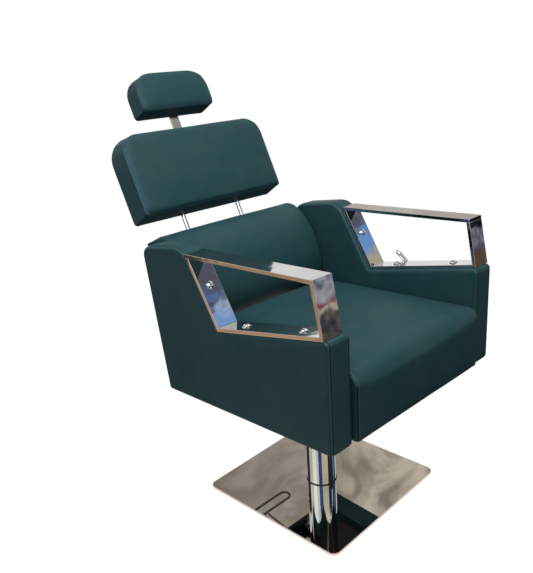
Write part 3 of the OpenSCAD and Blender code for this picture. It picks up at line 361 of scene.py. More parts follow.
# %% [markdown]
# ## Meshes from lattices
# Upholstery panels are sewn from flat pieces, so each cushion here starts as the surface of a box, cut into
# a regular lattice. Bending that box keeps neat rows of quads, which cloth simulation likes, and the box's
# edges become the seams. Steps near a seam are short, so that the leather can dip into it.

# %% Box lattice
def steps(count, *near):
    """Places from -1 to 1, evenly spaced, with extra ones this far in from each end."""
    inner = [-1 + 2 * i / count for i in range(count + 1)]
    edge = max(near, default=0)
    keep = [v for v in inner if abs(v) < 1 - 1.5 * edge]
    return sorted(keep + [s * (1 - n) for n in (0, *near) for s in (-1, 1)])


def box_lattice(us, vs, ws):
    """Points on the surface of a box and its quads: {lattice step: number}, [quads]."""
    size = (len(us) - 1, len(vs) - 1, len(ws) - 1)
    number, points, quads = {}, [], []

    def point(*step):
        if step not in number:
            number[step] = len(points)
            points.append([places[n] for places, n in zip((us, vs, ws), step)])
        return number[step]

    for axis in range(3):
        a, b = [n for n in range(3) if n != axis]
        for end in (0, size[axis]):
            for s, t in np.ndindex(size[a], size[b]):
                corner = []
                for ds, dt in ((0, 0), (1, 0), (1, 1), (0, 1)):
                    step = [end] * 3
                    step[a], step[b] = s + ds, t + dt
                    corner.append(point(*step))
                quads.append(corner[::-1] if (end == 0) ^ (axis == 1) else corner)
    return number, np.array(points), quads


def mesh_object(name, points, quads, material, smooth=True):
    mesh = bpy.data.meshes.new(name)
    mesh.from_pydata([tuple(p) for p in points], [], quads)
    mesh.materials.append(material)
    if smooth:
        mesh.polygons.foreach_set("use_smooth", [True] * len(mesh.polygons))
    mesh.validate()
    obj = bpy.data.objects.new(name, mesh)
    bpy.context.scene.collection.objects.link(obj)
    return obj


def vectors(items, what):
    """One row of three numbers for each item of a mesh."""
    flat = np.empty(len(items) * 3)
    items.foreach_get(what, flat)
    return flat.reshape(-1, 3)


def direction(vector):
    """The same way with length 1, for one vector or for each row of several."""
    return vector / np.maximum(np.linalg.norm(vector, axis=-1, keepdims=True), 1e-9)


def points_of(obj):
    return vectors(obj.data.vertices, "co")


def normals_of(obj):
    return vectors(obj.data.vertices, "normal")


def set_points(obj, points):
    obj.data.vertices.foreach_set("co", np.asarray(points, dtype=float).ravel())
    obj.data.update()


def turned_out(obj):
    """Makes every face look outwards."""
    work = bmesh.new()
    work.from_mesh(obj.data)
    bmesh.ops.recalc_face_normals(work, faces=work.faces)
    work.to_mesh(obj.data)
    work.free()
    return obj


print("a 6-step lattice:", [round(v, 2) for v in steps(6, 0.05)])

# %% [markdown]
# ## Inflating a cushion
# Foam under a sewn cover pushes the panels out and the seams hold them back. Cloth with air pressure does
# the same: the mesh swells, the seams are held, and small slack folds form by themselves. No point may move
# further than a cap, so that the cushion stays the size that was measured.

# %% Cloth
PRESSURE, FRAMES, QUICK_SHARE = 4.0, 20, 0.6
FOAM = {"quality": 5, "mass": 0.4, "use_pressure": True, "uniform_pressure_force": PRESSURE, "pin_stiffness": 1.0,
        "tension_stiffness": 20, "bending_stiffness": 0.8, "vertex_group_mass": "held"}


def swell(obj, held, cap):
    """Inflates obj as cloth. held is how firmly each point keeps its place, 0 to 1; cap is in metres."""
    start, scene = points_of(obj), bpy.context.scene
    group = obj.vertex_groups.new(name="held")
    for value in np.unique(held[held > 0]):
        group.add([int(i) for i in np.flatnonzero(held == value)], float(value), "REPLACE")
    cloth = obj.modifiers.new("foam", "CLOTH")
    for key, value in FOAM.items():
        setattr(cloth.settings, key, value)
    cloth.settings.effector_weights.gravity = 0
    cloth.collision_settings.use_collision = False
    cloth.point_cache.frame_start, cloth.point_cache.frame_end = 1, FRAMES
    for number in range(1, FRAMES + 1):
        scene.frame_set(number)
    puffed = obj.evaluated_get(bpy.context.evaluated_depsgraph_get())
    moved = vectors(puffed.data.vertices, "co") - start
    obj.modifiers.remove(cloth)
    obj.vertex_groups.remove(group)
    scene.frame_set(1)
    far = np.linalg.norm(moved, axis=1)
    limited = cap * np.tanh(far / cap) / np.maximum(far, 1e-9)
    set_points(obj, start + moved * limited[:, None])
    print(obj.name, "swelled up to", round(float(far.max()) * 1000, 1), "mm, kept to", cap * 1000)


def smooth_over(obj):
    sub = obj.modifiers.new("smooth", "SUBSURF")
    sub.levels = sub.render_levels = 1


print("cloth helper ready")

# %% [markdown]
# ## Stitches
# Where two panels are sewn, a row of stitches runs beside the seam on the panel that was folded back. Each
# stitch is a short bead of thread, laid every few millimetres along a row of the lattice and sunk halfway
# into the leather.

# %% Stitch rows
thread_finish = mottled("teal_thread", THREAD, 0.6, 900.0, 0.0002)
STITCH, STITCH_PITCH, STITCH_THICK, PROUD = 0.0036, 0.0058, 0.0013, 0.15
BEAD = [(-0.5, 0, 0), (-0.3, 0.5, 0), (-0.3, 0, 0.5), (-0.3, -0.5, 0), (-0.3, 0, -0.5),
        (0.3, 0.5, 0), (0.3, 0, 0.5), (0.3, -0.5, 0), (0.3, 0, -0.5), (0.5, 0, 0)]
BEAD_FACES = [(0, 2, 1), (0, 3, 2), (0, 4, 3), (0, 1, 4), (9, 5, 6), (9, 6, 7), (9, 7, 8), (9, 8, 5),
              (1, 2, 6, 5), (2, 3, 7, 6), (3, 4, 8, 7), (4, 1, 5, 8)]


def read_off(at, places, values):
    """The vectors that belong to places, read off at other places between them."""
    return np.stack([np.interp(at, places, values[:, i]) for i in range(3)], 1)


def along(path):
    """Points at the stitches' pitch along a path, with the path's direction there."""
    run = np.concatenate([[0], np.cumsum(np.linalg.norm(np.diff(path, axis=0), axis=1))])
    marks = np.arange(STITCH_PITCH / 2, run[-1], STITCH_PITCH)
    spots = read_off(marks, run, path)
    way = read_off(np.minimum(marks + STITCH_PITCH / 4, run[-1]), run, path) - spots
    return spots, direction(way)


def stitches(name, rows):
    """One mesh of thread beads along rows of (points, outward normals)."""
    points, quads = [], []
    for path, outward in rows:
        spots, way = along(path)
        out = read_off(np.linspace(0, 1, len(spots)), np.linspace(0, 1, len(outward)), outward)
        for spot, t, n in zip(spots, way, out):
            n = direction(n - t * np.dot(n, t))
            side, base = np.cross(t, n), len(points)
            points += [spot + t * a * STITCH + (side * b + n * (c + PROUD)) * STITCH_THICK for a, b, c in BEAD]
            quads += [tuple(base + i for i in f) for f in BEAD_FACES]
    return mesh_object(name, points, quads, thread_finish)


print("a stitch is", STITCH * 1000, "mm long")

# %% [markdown]
# ## The back's own axes
# The back leans, so its cushions are easier to shape in its own axes: x across, d back from the hinge, and
# v up along the back. The hinge joint in the record gives the place, and the sliding joint gives the lean.

# %% Back axes
joints = {j["name"]: j for j in frame["record"]["behaviour"]["joints"]}
HINGE = np.array(joints["back_recline"]["pos_m"])
UP_BACK = np.array(joints["upper_back_slide"]["axis"])
BACK_AXES = np.stack([(1, 0, 0), np.cross(UP_BACK, (1, 0, 0)), UP_BACK])


def on_back(points):
    """(x, d, v) beside the back to the row's frame."""
    return HINGE + np.asarray(points) @ BACK_AXES


def back_extent(name):
    """The lowest and highest (x, d, v) of a node."""
    local = (points_of(nodes[name]) - HINGE) @ BACK_AXES.T
    return local.min(0), local.max(0)


def back_panel(name):
    """Half the width, half the height and the middle of a node on the back, then its near and far depth."""
    low, high = back_extent(name)
    return (high[0] - low[0]) / 2, (high[2] - low[2]) / 2, (high[2] + low[2]) / 2, low[1], high[1]


print("lean", round(math.degrees(math.asin(UP_BACK[1])), 1), "degrees; upper pad",
      [[round(float(v), 3) for v in c] for c in back_extent("upper_cushion")])

# %% [markdown]
# ## Putting a piece in its place
# Each new piece names the body that carries it and hides the plain solid that it stands for.

# %% Seat a piece
def seat_piece(piece, body, slot, *stands_for, fill=None):
    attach(piece, body)
    if stands_for:
        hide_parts(*stands_for)
    return piece


def rows_of(obj, *rows):
    """Points and normals along rows of point numbers."""
    points, normals = points_of(obj), normals_of(obj)
    return [(points[row], normals[row]) for row in rows]


def sewn_piece(obj, body, node, fill, rows):
    """Adds a thread along the rows, smooths the leather, and seats both."""
    thread = stitches(obj.name + "_stitches", rows)
    smooth_over(obj)
    seat_piece(obj, body, "leather", node, fill=fill)
    seat_piece(thread, body, "leather")
    return obj


def rim(nu, nv):
    """The steps round the edge of a lattice sheet, in order."""
    return ([(i, 0) for i in range(nu)] + [(nu, j) for j in range(nv)]
            + [(i, nv) for i in range(nu, 0, -1)] + [(0, j) for j in range(nv, 0, -1)])


def sew_in(obj, seams, depth):
    """Draws the seams' points in along their normals."""
    points, normals = points_of(obj), normals_of(obj)
    for seam in seams:
        points[seam] -= normals[seam] * depth
    set_points(obj, points)


def uneven(obj, amount, size=0.11, where=1.0):
    """Slow hills and hollows of hand-laid foam, from a few crossed waves."""
    points, normals = points_of(obj), normals_of(obj)
    p = points / size
    hills = (np.sin(p[:, 0] * 1.7 + 0.6 * p[:, 1] + 0.4) * np.cos(p[:, 1] * 1.3 - 0.5 * p[:, 2])
             + 0.6 * np.sin(p[:, 2] * 2.3 + 1.1 * p[:, 0]) + 0.35 * np.sin(p[:, 0] * 3.9 - p[:, 1] * 3.1 + 2.0))
    set_points(obj, points + normals * (hills * amount * where)[:, None])


# Faces within GROOVE of a seam get painted shade, and faces out to SHOULDER get a painted highlight.
GROOVE, SHOULDER, LONGEST_STEP = 0.0011, 0.0055, 0.05


def shade_seams(obj, seams):
    """Paints shade down in the seams with a near-black leather, and paints a highlight along their shoulders with a
    lighter one.
    """
    centres, points = vectors(obj.data.polygons, "center"), points_of(obj)
    near = np.full(len(centres), 1.0)
    for seam in seams:
        path = points[list(seam)]
        for a, b in zip(path, np.roll(path, -1, 0)):
            run = b - a
            if run @ run > LONGEST_STEP ** 2:
                continue
            share = np.clip((centres - a) @ run / max(run @ run, 1e-12), 0, 1)
            near = np.minimum(near, np.linalg.norm(centres - a - share[:, None] * run, axis=1))
    obj.data.materials.append(seam_leather)
    obj.data.materials.append(rubbed_leather)
    kind = np.where(near < GROOVE, 1, np.where(near < SHOULDER, 2, 0))
    obj.data.polygons.foreach_set("material_index", kind.astype(np.int32))


SEAM_DEPTH = 0.0014
SEAM_STEPS = (0.0018, 0.0045, 0.0080, 0.0125)
print("seams have lattice rows at", SEAM_STEPS, "m beside them")

# %% [markdown]
# ## The upper pad and the headrest
# Each is a slab of foam on a plywood board: a front panel, a strip of boxing round it, and a cover behind.
# The boxing is cut so that the pad gets smaller towards the sitter. The front panel rises from its seam in
# a soft roll, with a row of stitches on the boxing beside it. The lattice of a box fits this exactly: its
# front edges are the seam.

# %% Pads
def corner_round(x, y, half_w, half_h, top_r, foot_r):
    """Bends the corners of a rectangle's lattice into arcs."""
    r = top_r if y > 0 else foot_r
    p, q = (abs(x) - half_w + r) / r, (abs(y) - half_h + r) / r
    if p <= 0 or q <= 0:
        return x, y
    return (math.copysign(half_w - r + r * p * math.sqrt(1 - q * q / 2), x),
            math.copysign(half_h - r + r * q * math.sqrt(1 - p * p / 2), y))


def swollen_edge(distance, deep):
    """How far a face has crowned at a distance from its edge, 0 to 1."""
    return 1 - (1 - min(1.0, max(0.0, distance / deep))) ** 2.2


def quarter_round(distance, radius):
    """The height of a rolled edge, 0 to 1, at a distance in from the edge."""
    t = 1 - min(1.0, max(0.0, distance / radius))
    return math.sqrt(1 - t * t)


PAD_CELL, PAD_CAP, PAD_FOOT_R = 0.012, 0.003, 0.013
BOARD_INSET, FACE_INSET = 0.0030, 0.0010
SIDE_ROLL, END_ROLL = 1.6, 1.3  # widths of the rolled edge, in heights


def lattice_steps(half, cell, *near):
    return steps(round(2 * half / cell), *(n / half for n in near))


def pad(name, node, body, seam_d, roll, crown, taper, top_r, seam_r):
    """A foam pad with boxing that narrows by taper (sides, foot, top) from its board to its seam.

    Its top corners have the radius top_r at the board and seam_r at the seam."""
    half_w, half_h, mid, _, back = back_panel(node)
    depth = back - seam_d
    us, vs = (lattice_steps(half, PAD_CELL, *SEAM_STEPS) for half in (half_w, half_h))
    number, unit, quads = box_lattice(us, vs, lattice_steps(depth / 2, PAD_CELL, *SEAM_STEPS))
    points = []
    for a, b, c in unit:
        narrow = (1 - c) / 2
        inset = BOARD_INSET if c == 1 else FACE_INSET
        w = half_w - inset - taper[0] * narrow
        foot = mid - half_h + inset + taper[1] * narrow
        top = mid + half_h - inset - taper[2] * narrow
        h = (top - foot) / 2
        x, y = corner_round(a * w, b * h, w, h, top_r + (seam_r - top_r) * narrow, PAD_FOOT_R)
        d = back - depth * narrow
        if c == -1:
            in_x, in_y, deep = w - abs(a * w), h - abs(b * h), min(w, h)
            d -= roll * quarter_round(in_x, SIDE_ROLL * roll) * quarter_round(in_y, END_ROLL * roll)
            d -= crown * swollen_edge(in_x, deep) * swollen_edge(in_y, deep)
        points.append((x, d, (top + foot) / 2 + y))
    obj = mesh_object(name, on_back(points), quads, cover_leather)
    seam, row = ([number[i, j, k] for i, j in rim(len(us) - 1, len(vs) - 1)] for k in (0, 3))
    held = np.where(unit[:, 2] == 1, 1.0, 0.0)
    held[seam] = 1.0
    swell(obj, held, PAD_CAP)
    uneven(obj, 0.0004)
    sew_in(obj, [seam], SEAM_DEPTH)
    shade_seams(obj, [seam])
    return sewn_piece(obj, body, node, 0.85, rows_of(obj, row + row[:1]))


upper_pad = pad("upper_pad", "upper_cushion", "upper_back", seam_d=-0.0015, roll=0.0135, crown=0.005,
                taper=(0.005, 0.010, 0.015), top_r=0.081, seam_r=0.056)
headrest_pad = pad("headrest_pad", "headrest_cushion", "headrest", seam_d=0.0215, roll=0.0115, crown=0.004,
                   taper=(0.000, 0.006, 0.011), top_r=0.069, seam_r=0.055)
print("pads:", len(upper_pad.data.polygons), "and", len(headrest_pad.data.polygons), "quads")

# %% [markdown]
# The pads' top corners are cut wide, so the plywood inside has its own corners sawn off to stay under the
# leather. A slot in the top of the upper board leaves room for the headrest's strap and guide.

# %% Sawn boards
def sawn_board(name, node, body, cut, slot_half=0.0, slot_foot=0.0):
    """A flat board in a node's place, with sawn top corners and a slot down from its top."""
    low, high = back_extent(node)
    right, foot, top = high[0], low[2], high[2]
    half = [(right - cut, top), (right, top - cut), (right, foot)]
    outline = half + [(-x, v) for x, v in reversed(half)]
    if slot_half:
        base = foot + slot_foot
        outline += [(-slot_half, top), (-slot_half, base), (slot_half, base), (slot_half, top)]
    count = len(outline)
    points = [(x, d, v) for d in (low[1], high[1]) for x, v in outline]
    faces = [tuple(range(count))[::-1], tuple(range(count, 2 * count))]
    faces += [(i, (i + 1) % count, (i + 1) % count + count, i + count) for i in range(count)]
    obj = mesh_object(name, on_back(points), faces, raw_wood, smooth=False)
    break_edges(obj, 0.0008)
    return seat_piece(obj, body, "wood", node)


for board in (sawn_board("upper_ply", "upper_board", "upper_back", cut=0.045, slot_half=0.0183, slot_foot=0.088),
              sawn_board("headrest_ply", "headrest_board", "headrest", cut=0.028)):
    print(board.name, [round(float(v), 3) for v in board.dimensions])

# %% [markdown]
# ## The rear covers
# The photograph doesn't show the back. Chairs like this one close each pad with a thin leather-covered
# panel that is pressed on from behind, slightly smaller than the pad and gently crowned, with a stitched
# border.

# %% Rear covers
COVER_CELL, COVER_FOOT_R, COVER_CROWN, COVER_CROWN_RUN = 0.016, 0.008, 0.0025, 0.12
FRONT_GAP, REAR_INSET, HEM = 0.0006, 0.0016, (0.003, 0.010)


def rear_cover(name, node, body, top_r):
    half_w, half_h, mid, front, back = back_panel(node)
    us, vs = (lattice_steps(half, COVER_CELL, *HEM) for half in (half_w, half_h))
    number, unit, quads = box_lattice(us, vs, (-1, 0.4, 1))
    points, front = [], front + FRONT_GAP
    for a, b, c in unit:
        inset = REAR_INSET if c == 1 else 0.0
        w, h = half_w - inset, half_h - inset
        x, y = corner_round(a * w, b * h, w, h, top_r, COVER_FOOT_R)
        d = front + (back - front) * (c + 1) / 2
        if c == 1:
            d += COVER_CROWN * (swollen_edge(w - abs(a * w), COVER_CROWN_RUN)
                                * swollen_edge(h - abs(b * h), COVER_CROWN_RUN))
        points.append((x, d, mid + y))
    obj = mesh_object(name, on_back(points), quads, cover_leather)
    uneven(obj, 0.0002)
    row = [number[i + 2, j + 2, 2] for i, j in rim(len(us) - 5, len(vs) - 5)]
    return sewn_piece(obj, body, node, 0.9, rows_of(obj, row + row[:1]))


for name, body, top_r in (("lumbar_cover", "lower_back", 0.012), ("upper_cover", "upper_back", 0.073),
                          ("headrest_cover", "headrest", 0.061)):
    cover = rear_cover(name + "_panel", name, body, top_r)
    print(cover.name, len(cover.data.polygons), "quads")

# %% [markdown]
# ## Wrapped cushions
# The seat and the lower back are sleeves of leather pulled over shaped foam: the profile runs round the
# front, and the ends are closed by side panels. So their lattice follows the profile, and each station
# across the width takes the profile with its own crown, drawn in near the ends, where the edge rolls over
# to the side panel.

# %% Wrapped cushion
def drawn(x, half, edge):
    """How far the skin draws in near a rolled end."""
    t = max(0.0, abs(x) - half + edge)
    return edge - math.sqrt(max(0.0, edge * edge - t * t))


def stations(half, edge, count):
    """Places across the width, closer together over the rolled ends."""
    rolled = [half - edge + edge * math.sin(math.radians(a)) for a in (0, 18, 36, 54, 72, 90)]
    rolled.append(half - edge - 0.004)
    flat = [(half - edge) * (2 * i / count - 1) for i in range(1, count)]
    return sorted([-r for r in rolled] + flat + rolled)


LAYERS, WRAP_CAP, HELD_BELOW = (0, 0.25, 0.5, 0.75, 1), 0.004, 0.8


def wrapped(name, xs, outer, inner, seam_at, hills, sewn, frame_of=np.asarray):
    """A cushion from outer(x) and inner profiles of as many points. seam_at are the stations that are sewn."""
    profile, inside = [outer(x) for x in xs], np.array(inner)
    number, unit, quads = box_lattice(range(len(xs)), range(len(inside)), LAYERS)
    points = []
    for i, j, k in unit:
        i, j = int(i), int(j)
        points.append((xs[i], *(inside[j] * (1 - k) + np.array(profile[i][j]) * k)))
    obj = mesh_object(name, frame_of(points), quads, cover_leather)
    seams = [[number[i, j, len(LAYERS) - 1] for j in range(len(inside))] for i in seam_at]
    held = np.where(unit[:, 2] < HELD_BELOW, 1.0, 0.0)
    for seam in seams:
        held[seam] = 1.0
    swell(obj, held, WRAP_CAP)
    uneven(turned_out(obj), *hills)
    sew_in(obj, seams, sewn)
    return obj, number, seams


print("stations across the seat:", len(stations(0.2375, 0.012, 30)))

# %% [markdown]
# ## The seat cushion
# Its cover hangs over the front rail as an apron, rolls over a nose of about 30 mm radius and falls
# slightly towards the back. A person's weight has stretched the middle, so the crown is highest there.

# %% Seat cushion
seat_low, seat_high = (np.array(c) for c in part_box("seat_cushion"))
SEAT_HALF, SEAT_EDGE, NOSE_R, HEEL_R = seat_high[0], 0.006, 0.030, 0.016
FRONT_Y, BACK_Y, APRON_LOW = -0.3405, 0.171, seat_low[2]
TOP_FRONT, TOP_BACK = 0.5365, 0.5185
BOARD_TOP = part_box("seat_board")[1][2] + 0.0003
RAIL_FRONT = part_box("seat_frame")[0][1] - 0.0003


def seat_profile():
    """Profile points (y, z) with outward normal, share of the crown and share of the draw-in."""
    nose, heel = (FRONT_Y + NOSE_R, TOP_FRONT - NOSE_R), (BACK_Y - HEEL_R, TOP_BACK - HEEL_R)
    rows = [(FRONT_Y, APRON_LOW + (nose[1] - APRON_LOW) * s, -1, 0, min(1, 0.25 + 1.1 * s), 1)
            for s in (0, 0.12, 0.25, 0.38, 0.51, 0.64, 0.77, 0.89)]
    rows += [(nose[0] - NOSE_R * math.cos(a), nose[1] + NOSE_R * math.sin(a), -math.cos(a), math.sin(a), 1, 1)
             for a in np.radians(range(0, 91, 10))]
    rows += [(nose[0] + (heel[0] - nose[0]) * s, TOP_FRONT + (TOP_BACK - TOP_FRONT) * s, 0, 1, 1, 1)
             for s in np.linspace(0, 1, 36)[1:-1]]
    rows += [(heel[0] + HEEL_R * math.cos(a), heel[1] + HEEL_R * math.sin(a), math.cos(a), math.sin(a),
              math.sin(a), 1) for a in np.radians(range(90, -1, -18))]
    return rows + [(BACK_Y, BOARD_TOP + 0.004, 1, 0, 0, 0.3)]


SEAT_ROWS = seat_profile()
FRONT_CROWN, TOP_CROWN, SWELL_ROOM = 0.006, 0.005, 0.001


def seat_outer(x):
    up = 1 - (abs(x) / SEAT_HALF) ** 2.4
    inward = drawn(x, SEAT_HALF, SEAT_EDGE) + SWELL_ROOM
    out = []
    for y, z, ny, nz, crown, draw in SEAT_ROWS:
        rise = up * crown * (FRONT_CROWN + TOP_CROWN * max(0.0, nz)) - inward * draw
        out.append((y + ny * rise, z + nz * rise))
    return out


RISE_POINTS = 15
seat_inner = [(RAIL_FRONT, z) for z in np.linspace(APRON_LOW, BOARD_TOP, RISE_POINTS)]
seat_inner += [(y, BOARD_TOP)
               for y in np.linspace(RAIL_FRONT, BACK_Y - 0.008, len(SEAT_ROWS) - RISE_POINTS + 1)[1:]]
seat_xs = stations(SEAT_HALF, SEAT_EDGE, 34)
seat_pad, seat_number, seat_seams = wrapped("seat_pad", seat_xs, seat_outer, seat_inner,
                                            seam_at=(2, len(seat_xs) - 3), hills=(0.0006, 0.13), sewn=0.0012)
shade_seams(seat_pad, [seam[:-1] for seam in seat_seams])
beside = [[seat_number[i, j, 4] for j in range(len(SEAT_ROWS) - 1)] for i in (6, len(seat_xs) - 7)]
sewn_piece(seat_pad, "seat", "seat_cushion", 0.9, rows_of(seat_pad, *beside))
print("seat pad", len(seat_pad.data.polygons), "quads")

# %% [markdown]
# ## The lower back
# It is a bolster with a D-shaped profile, flat against its board and round towards the sitter's waist, as
# wide as the gap between the arm sides. It leans with the back, so it is shaped in the back's own axes.

# %% Lower back
_, lumbar_half, lumbar_mid, _, BOLSTER_BACK = back_panel("lumbar_cushion")
BOLSTER_HALF, BOLSTER_EDGE, BOLSTER_BULGE = 0.2445, 0.010, 0.084
BOLSTER_MID, BOLSTER_RISE = lumbar_mid + 0.002, lumbar_half + 0.002
BOLSTER_CROWN, BOLSTER_ROOM = 0.005, 0.0015
BOLSTER_TURNS = np.radians(np.linspace(-90, 90, 41))


def bolster_outer(x):
    e = drawn(x, BOLSTER_HALF, BOLSTER_EDGE) + BOLSTER_ROOM
    bulge = BOLSTER_BULGE - e + BOLSTER_CROWN * (1 - (x / BOLSTER_HALF) ** 2)
    return [(-bulge * max(0.0, math.cos(t)) ** 0.9, BOLSTER_MID + (BOLSTER_RISE - e) * math.sin(t))
            for t in BOLSTER_TURNS]


bolster_inner = [(BOLSTER_BACK, BOLSTER_MID + (BOLSTER_RISE - 0.002) * t / 20) for t in range(-20, 21)]
bolster_xs = stations(BOLSTER_HALF, BOLSTER_EDGE, 32)
lumbar_pad, _, _ = wrapped("lumbar_pad", bolster_xs, bolster_outer, bolster_inner,
                           seam_at=(0, len(bolster_xs) - 1), hills=(0.0006, 0.12), sewn=0.0010, frame_of=on_back)
smooth_over(lumbar_pad)
seat_piece(lumbar_pad, "lower_back", "leather", "lumbar_cushion", fill=0.9)
print("lumbar pad", len(lumbar_pad.data.polygons), "quads")

# %% [markdown]
# ## The arm sides
# A plywood panel carries the armrest loop. Foam and leather cover it: a panel on each side and a gusset, 71
# mm wide, all the way round. The side panels roll over the edge and are sewn to the gusset there, with a
# stitch row 7 mm onto the gusset. The loop is bolted down hard on the gusset, so that is modelled flat and
# not inflated.

# %% Outline of an arm side
LOOP = [np.array(p) for p in ((0.1173, 0.7413), (-0.2934, 0.7558), (-0.3173, 0.6326), (0.0158, 0.5684))]
ARM_OUT, ARM_IN = 0.319, 0.248
ARM_FRONT, PEAK_Z = -0.327, 0.7545


def cross(a, b):
    return a[0] * b[1] - a[1] * b[0]


def meet(p, u, q, w):
    """Where two lines through p and q meet."""
    return p + u * cross(q - p, w) / cross(u, w)


def shifted(corners, distance):
    """A closed outline moved inwards by distance at every side."""
    out = []
    for i, b in enumerate(corners):
        u, w = direction(b - corners[i - 1]), direction(corners[(i + 1) % len(corners)] - b)
        left_u, left_w = np.array((-u[1], u[0])), np.array((-w[1], w[0]))
        out.append(meet(b + left_u * distance, u, b + left_w * distance, w))
    return out


def half_angle(u, w):
    """Half the angle between two directions."""
    return math.acos(float(np.clip(u @ w, -1, 1))) / 2


def rounded(corners, radii, bend=8, run=14):
    """An outline with arcs at its corners and evenly cut sides, always with as many points."""
    arcs = []
    for i, b in enumerate(corners):
        u, w = direction(corners[i - 1] - b), direction(corners[(i + 1) % len(corners)] - b)
        half = half_angle(u, w)
        middle = b + (u + w) / np.linalg.norm(u + w) * radii[i] / math.sin(half)
        start, end = b + u * radii[i] / math.tan(half) - middle, b + w * radii[i] / math.tan(half) - middle
        a0 = math.atan2(start[1], start[0])
        sweep = (math.atan2(end[1], end[0]) - a0 + 3 * math.pi) % (2 * math.pi) - math.pi
        arcs.append([middle + radii[i] * np.array((math.cos(a), math.sin(a)))
                     for a in np.linspace(a0, a0 + sweep, bend + 1)])
    out = []
    for i, arc in enumerate(arcs):
        here, there = arc[-1], arcs[(i + 1) % len(arcs)][0]
        out += arc + [here + (there - here) * j / run for j in range(1, run)]
    return np.array(out)


slope, slant = LOOP[2] - LOOP[3], LOOP[0] - LOOP[3]
ARM_CORNERS = [np.array((0.2435, 0.345)), np.array((0.297, 0.7315)),
               meet(LOOP[3], slant, np.array((0, PEAK_Z)), np.array((1.0, 0))), LOOP[3],
               meet(LOOP[3], slope, np.array((ARM_FRONT, 0)), np.array((0, 1.0))), np.array((ARM_FRONT, 0.3715))]
ARM_RADII = (0.008, 0.027, 0.055, 0.0006, 0.012, 0.006)
ARM_HEART = np.array((0.110, 0.480))


def arm_outline(inset):
    radii = [r + inset if i == 3 else max(0.001, r - inset) for i, r in enumerate(ARM_RADII)]
    return rounded(shifted(ARM_CORNERS, 0.0001 + inset), radii)


print("arm outline", len(arm_outline(0)), "points")

# %% [markdown]
# The side is a stack of rings: out of the heart of the inner panel, over its rolled edge, across the gusset
# and back into the heart of the outer panel. Rings keep every seam a clean loop.

# %% Arm sides
ROLL, SEAM_X, STITCH_X = 0.0060, 0.0070, 0.0140
SIDE_BULGE, GUSSET_CROWN, ROLL_TURNS = 0.0022, 0.0016, (0, 22, 45, 68, 90)
HEART_SHARES = (0.06, 0.2, 0.36, 0.52, 0.68, 0.82, 0.92, 0.97)


def hand(side):
    return "left" if side > 0 else "right"


def loops_of_quads(rings, n):
    """The quads between closed rings of n points."""
    return [(k * n + i, k * n + (i + 1) % n, (k + 1) * n + (i + 1) % n, (k + 1) * n + i)
            for k in range(rings - 1) for i in range(n)]


def on_loop(p):
    """Whether an outline point lies under the armrest loop."""
    for a, b in ((LOOP[3], LOOP[0]), (LOOP[3], LOOP[2])):
        long = np.linalg.norm(b - a)
        u = (b - a) / long
        if abs(cross(u, p - a)) < 0.002 and -0.01 < (p - a) @ u < long + 0.012:
            return True
    return False


def outward_of(outline):
    along_it = np.roll(outline, -1, 0) - np.roll(outline, 1, 0)
    out = direction(np.stack([along_it[:, 1], -along_it[:, 0]], 1))
    area = sum(cross(outline[i - 1], outline[i]) for i in range(len(outline)))
    return out if area > 0 else -out


def arm_side(side):
    width = ARM_OUT - ARM_IN
    rolled = [(ROLL * (1 - math.sin(a)), ROLL * (1 - math.cos(a))) for a in np.radians(ROLL_TURNS)]
    rolled += [(0.0, x) for x in (SEAM_X, SEAM_X + 0.0016, SEAM_X + 0.0040, STITCH_X, 0.026)]
    across = rolled + [(0.0, width / 2)] + [(inset, width - x) for inset, x in reversed(rolled)]
    edge = arm_outline(ROLL)
    free = np.array([0.0 if on_loop(p) else 1.0 for p in arm_outline(0)])

    def face(x, way, share):
        bulge = SIDE_BULGE * (1 - share ** 2.5)
        return [(x + way * bulge, *(ARM_HEART + (p - ARM_HEART) * share)) for p in edge]

    rings = [face(0, -1, share) for share in HEART_SHARES]
    for inset, x in across:
        full = 1 - (2 * x / width - 1) ** 2 if inset == 0 else 0.0
        outline = arm_outline(inset)
        rings.append([(x, *p) for p in outline + outward_of(outline) * (GUSSET_CROWN * full * free)[:, None]])
    rings += [face(width, 1, share) for share in reversed(HEART_SHARES)]
    n, points = len(edge), [p for ring in rings for p in ring]
    quads = loops_of_quads(len(rings), n)
    for start, depth in ((0, -SIDE_BULGE), ((len(rings) - 1) * n, width + SIDE_BULGE)):
        points.append((depth, *ARM_HEART))
        quads += [(len(points) - 1, start + i, start + (i + 1) % n) for i in range(n)]
    points = [(side * (ARM_OUT - x), y, z) for x, y, z in points]
    obj = turned_out(mesh_object("arm_pad_" + hand(side), points, quads, cover_leather))
    first = len(HEART_SHARES) + len(ROLL_TURNS)
    last = 2 * len(HEART_SHARES) + len(across) - 1 - first
    rows = rows_of(obj, *([ring * n + i for i in range(n)] + [ring * n] for ring in (first + 3, last - 3)))
    faces = np.zeros(len(points))
    faces[:len(HEART_SHARES) * n], faces[(len(HEART_SHARES) + len(across)) * n:] = 1, 1
    uneven(obj, 0.0005, 0.12, faces)
    sewn = [[ring * n + i for i in range(n)] for ring in (first, last)]
    sew_in(obj, sewn, SEAM_DEPTH)
    shade_seams(obj, sewn)
    return sewn_piece(obj, "seat", "arm_side_" + hand(side), 0.95, rows)


for side in (1, -1):
    print(arm_side(side).name, "sewn")

# %% [markdown]
# ## The armrest loops
# Each loop is four lengths of flat steel bar, welded, ground flush and chromed. The weld lines stay faintly
# visible at the corners, because the top and bottom bars run through and the other two stand between them.
# So each bar is its own closed shape with a small broken edge, and the four meet without a gap.

# %% Armrest loops
BAR, LOOP_IN, GROUND_EDGE = 0.009, 0.260, 0.0006


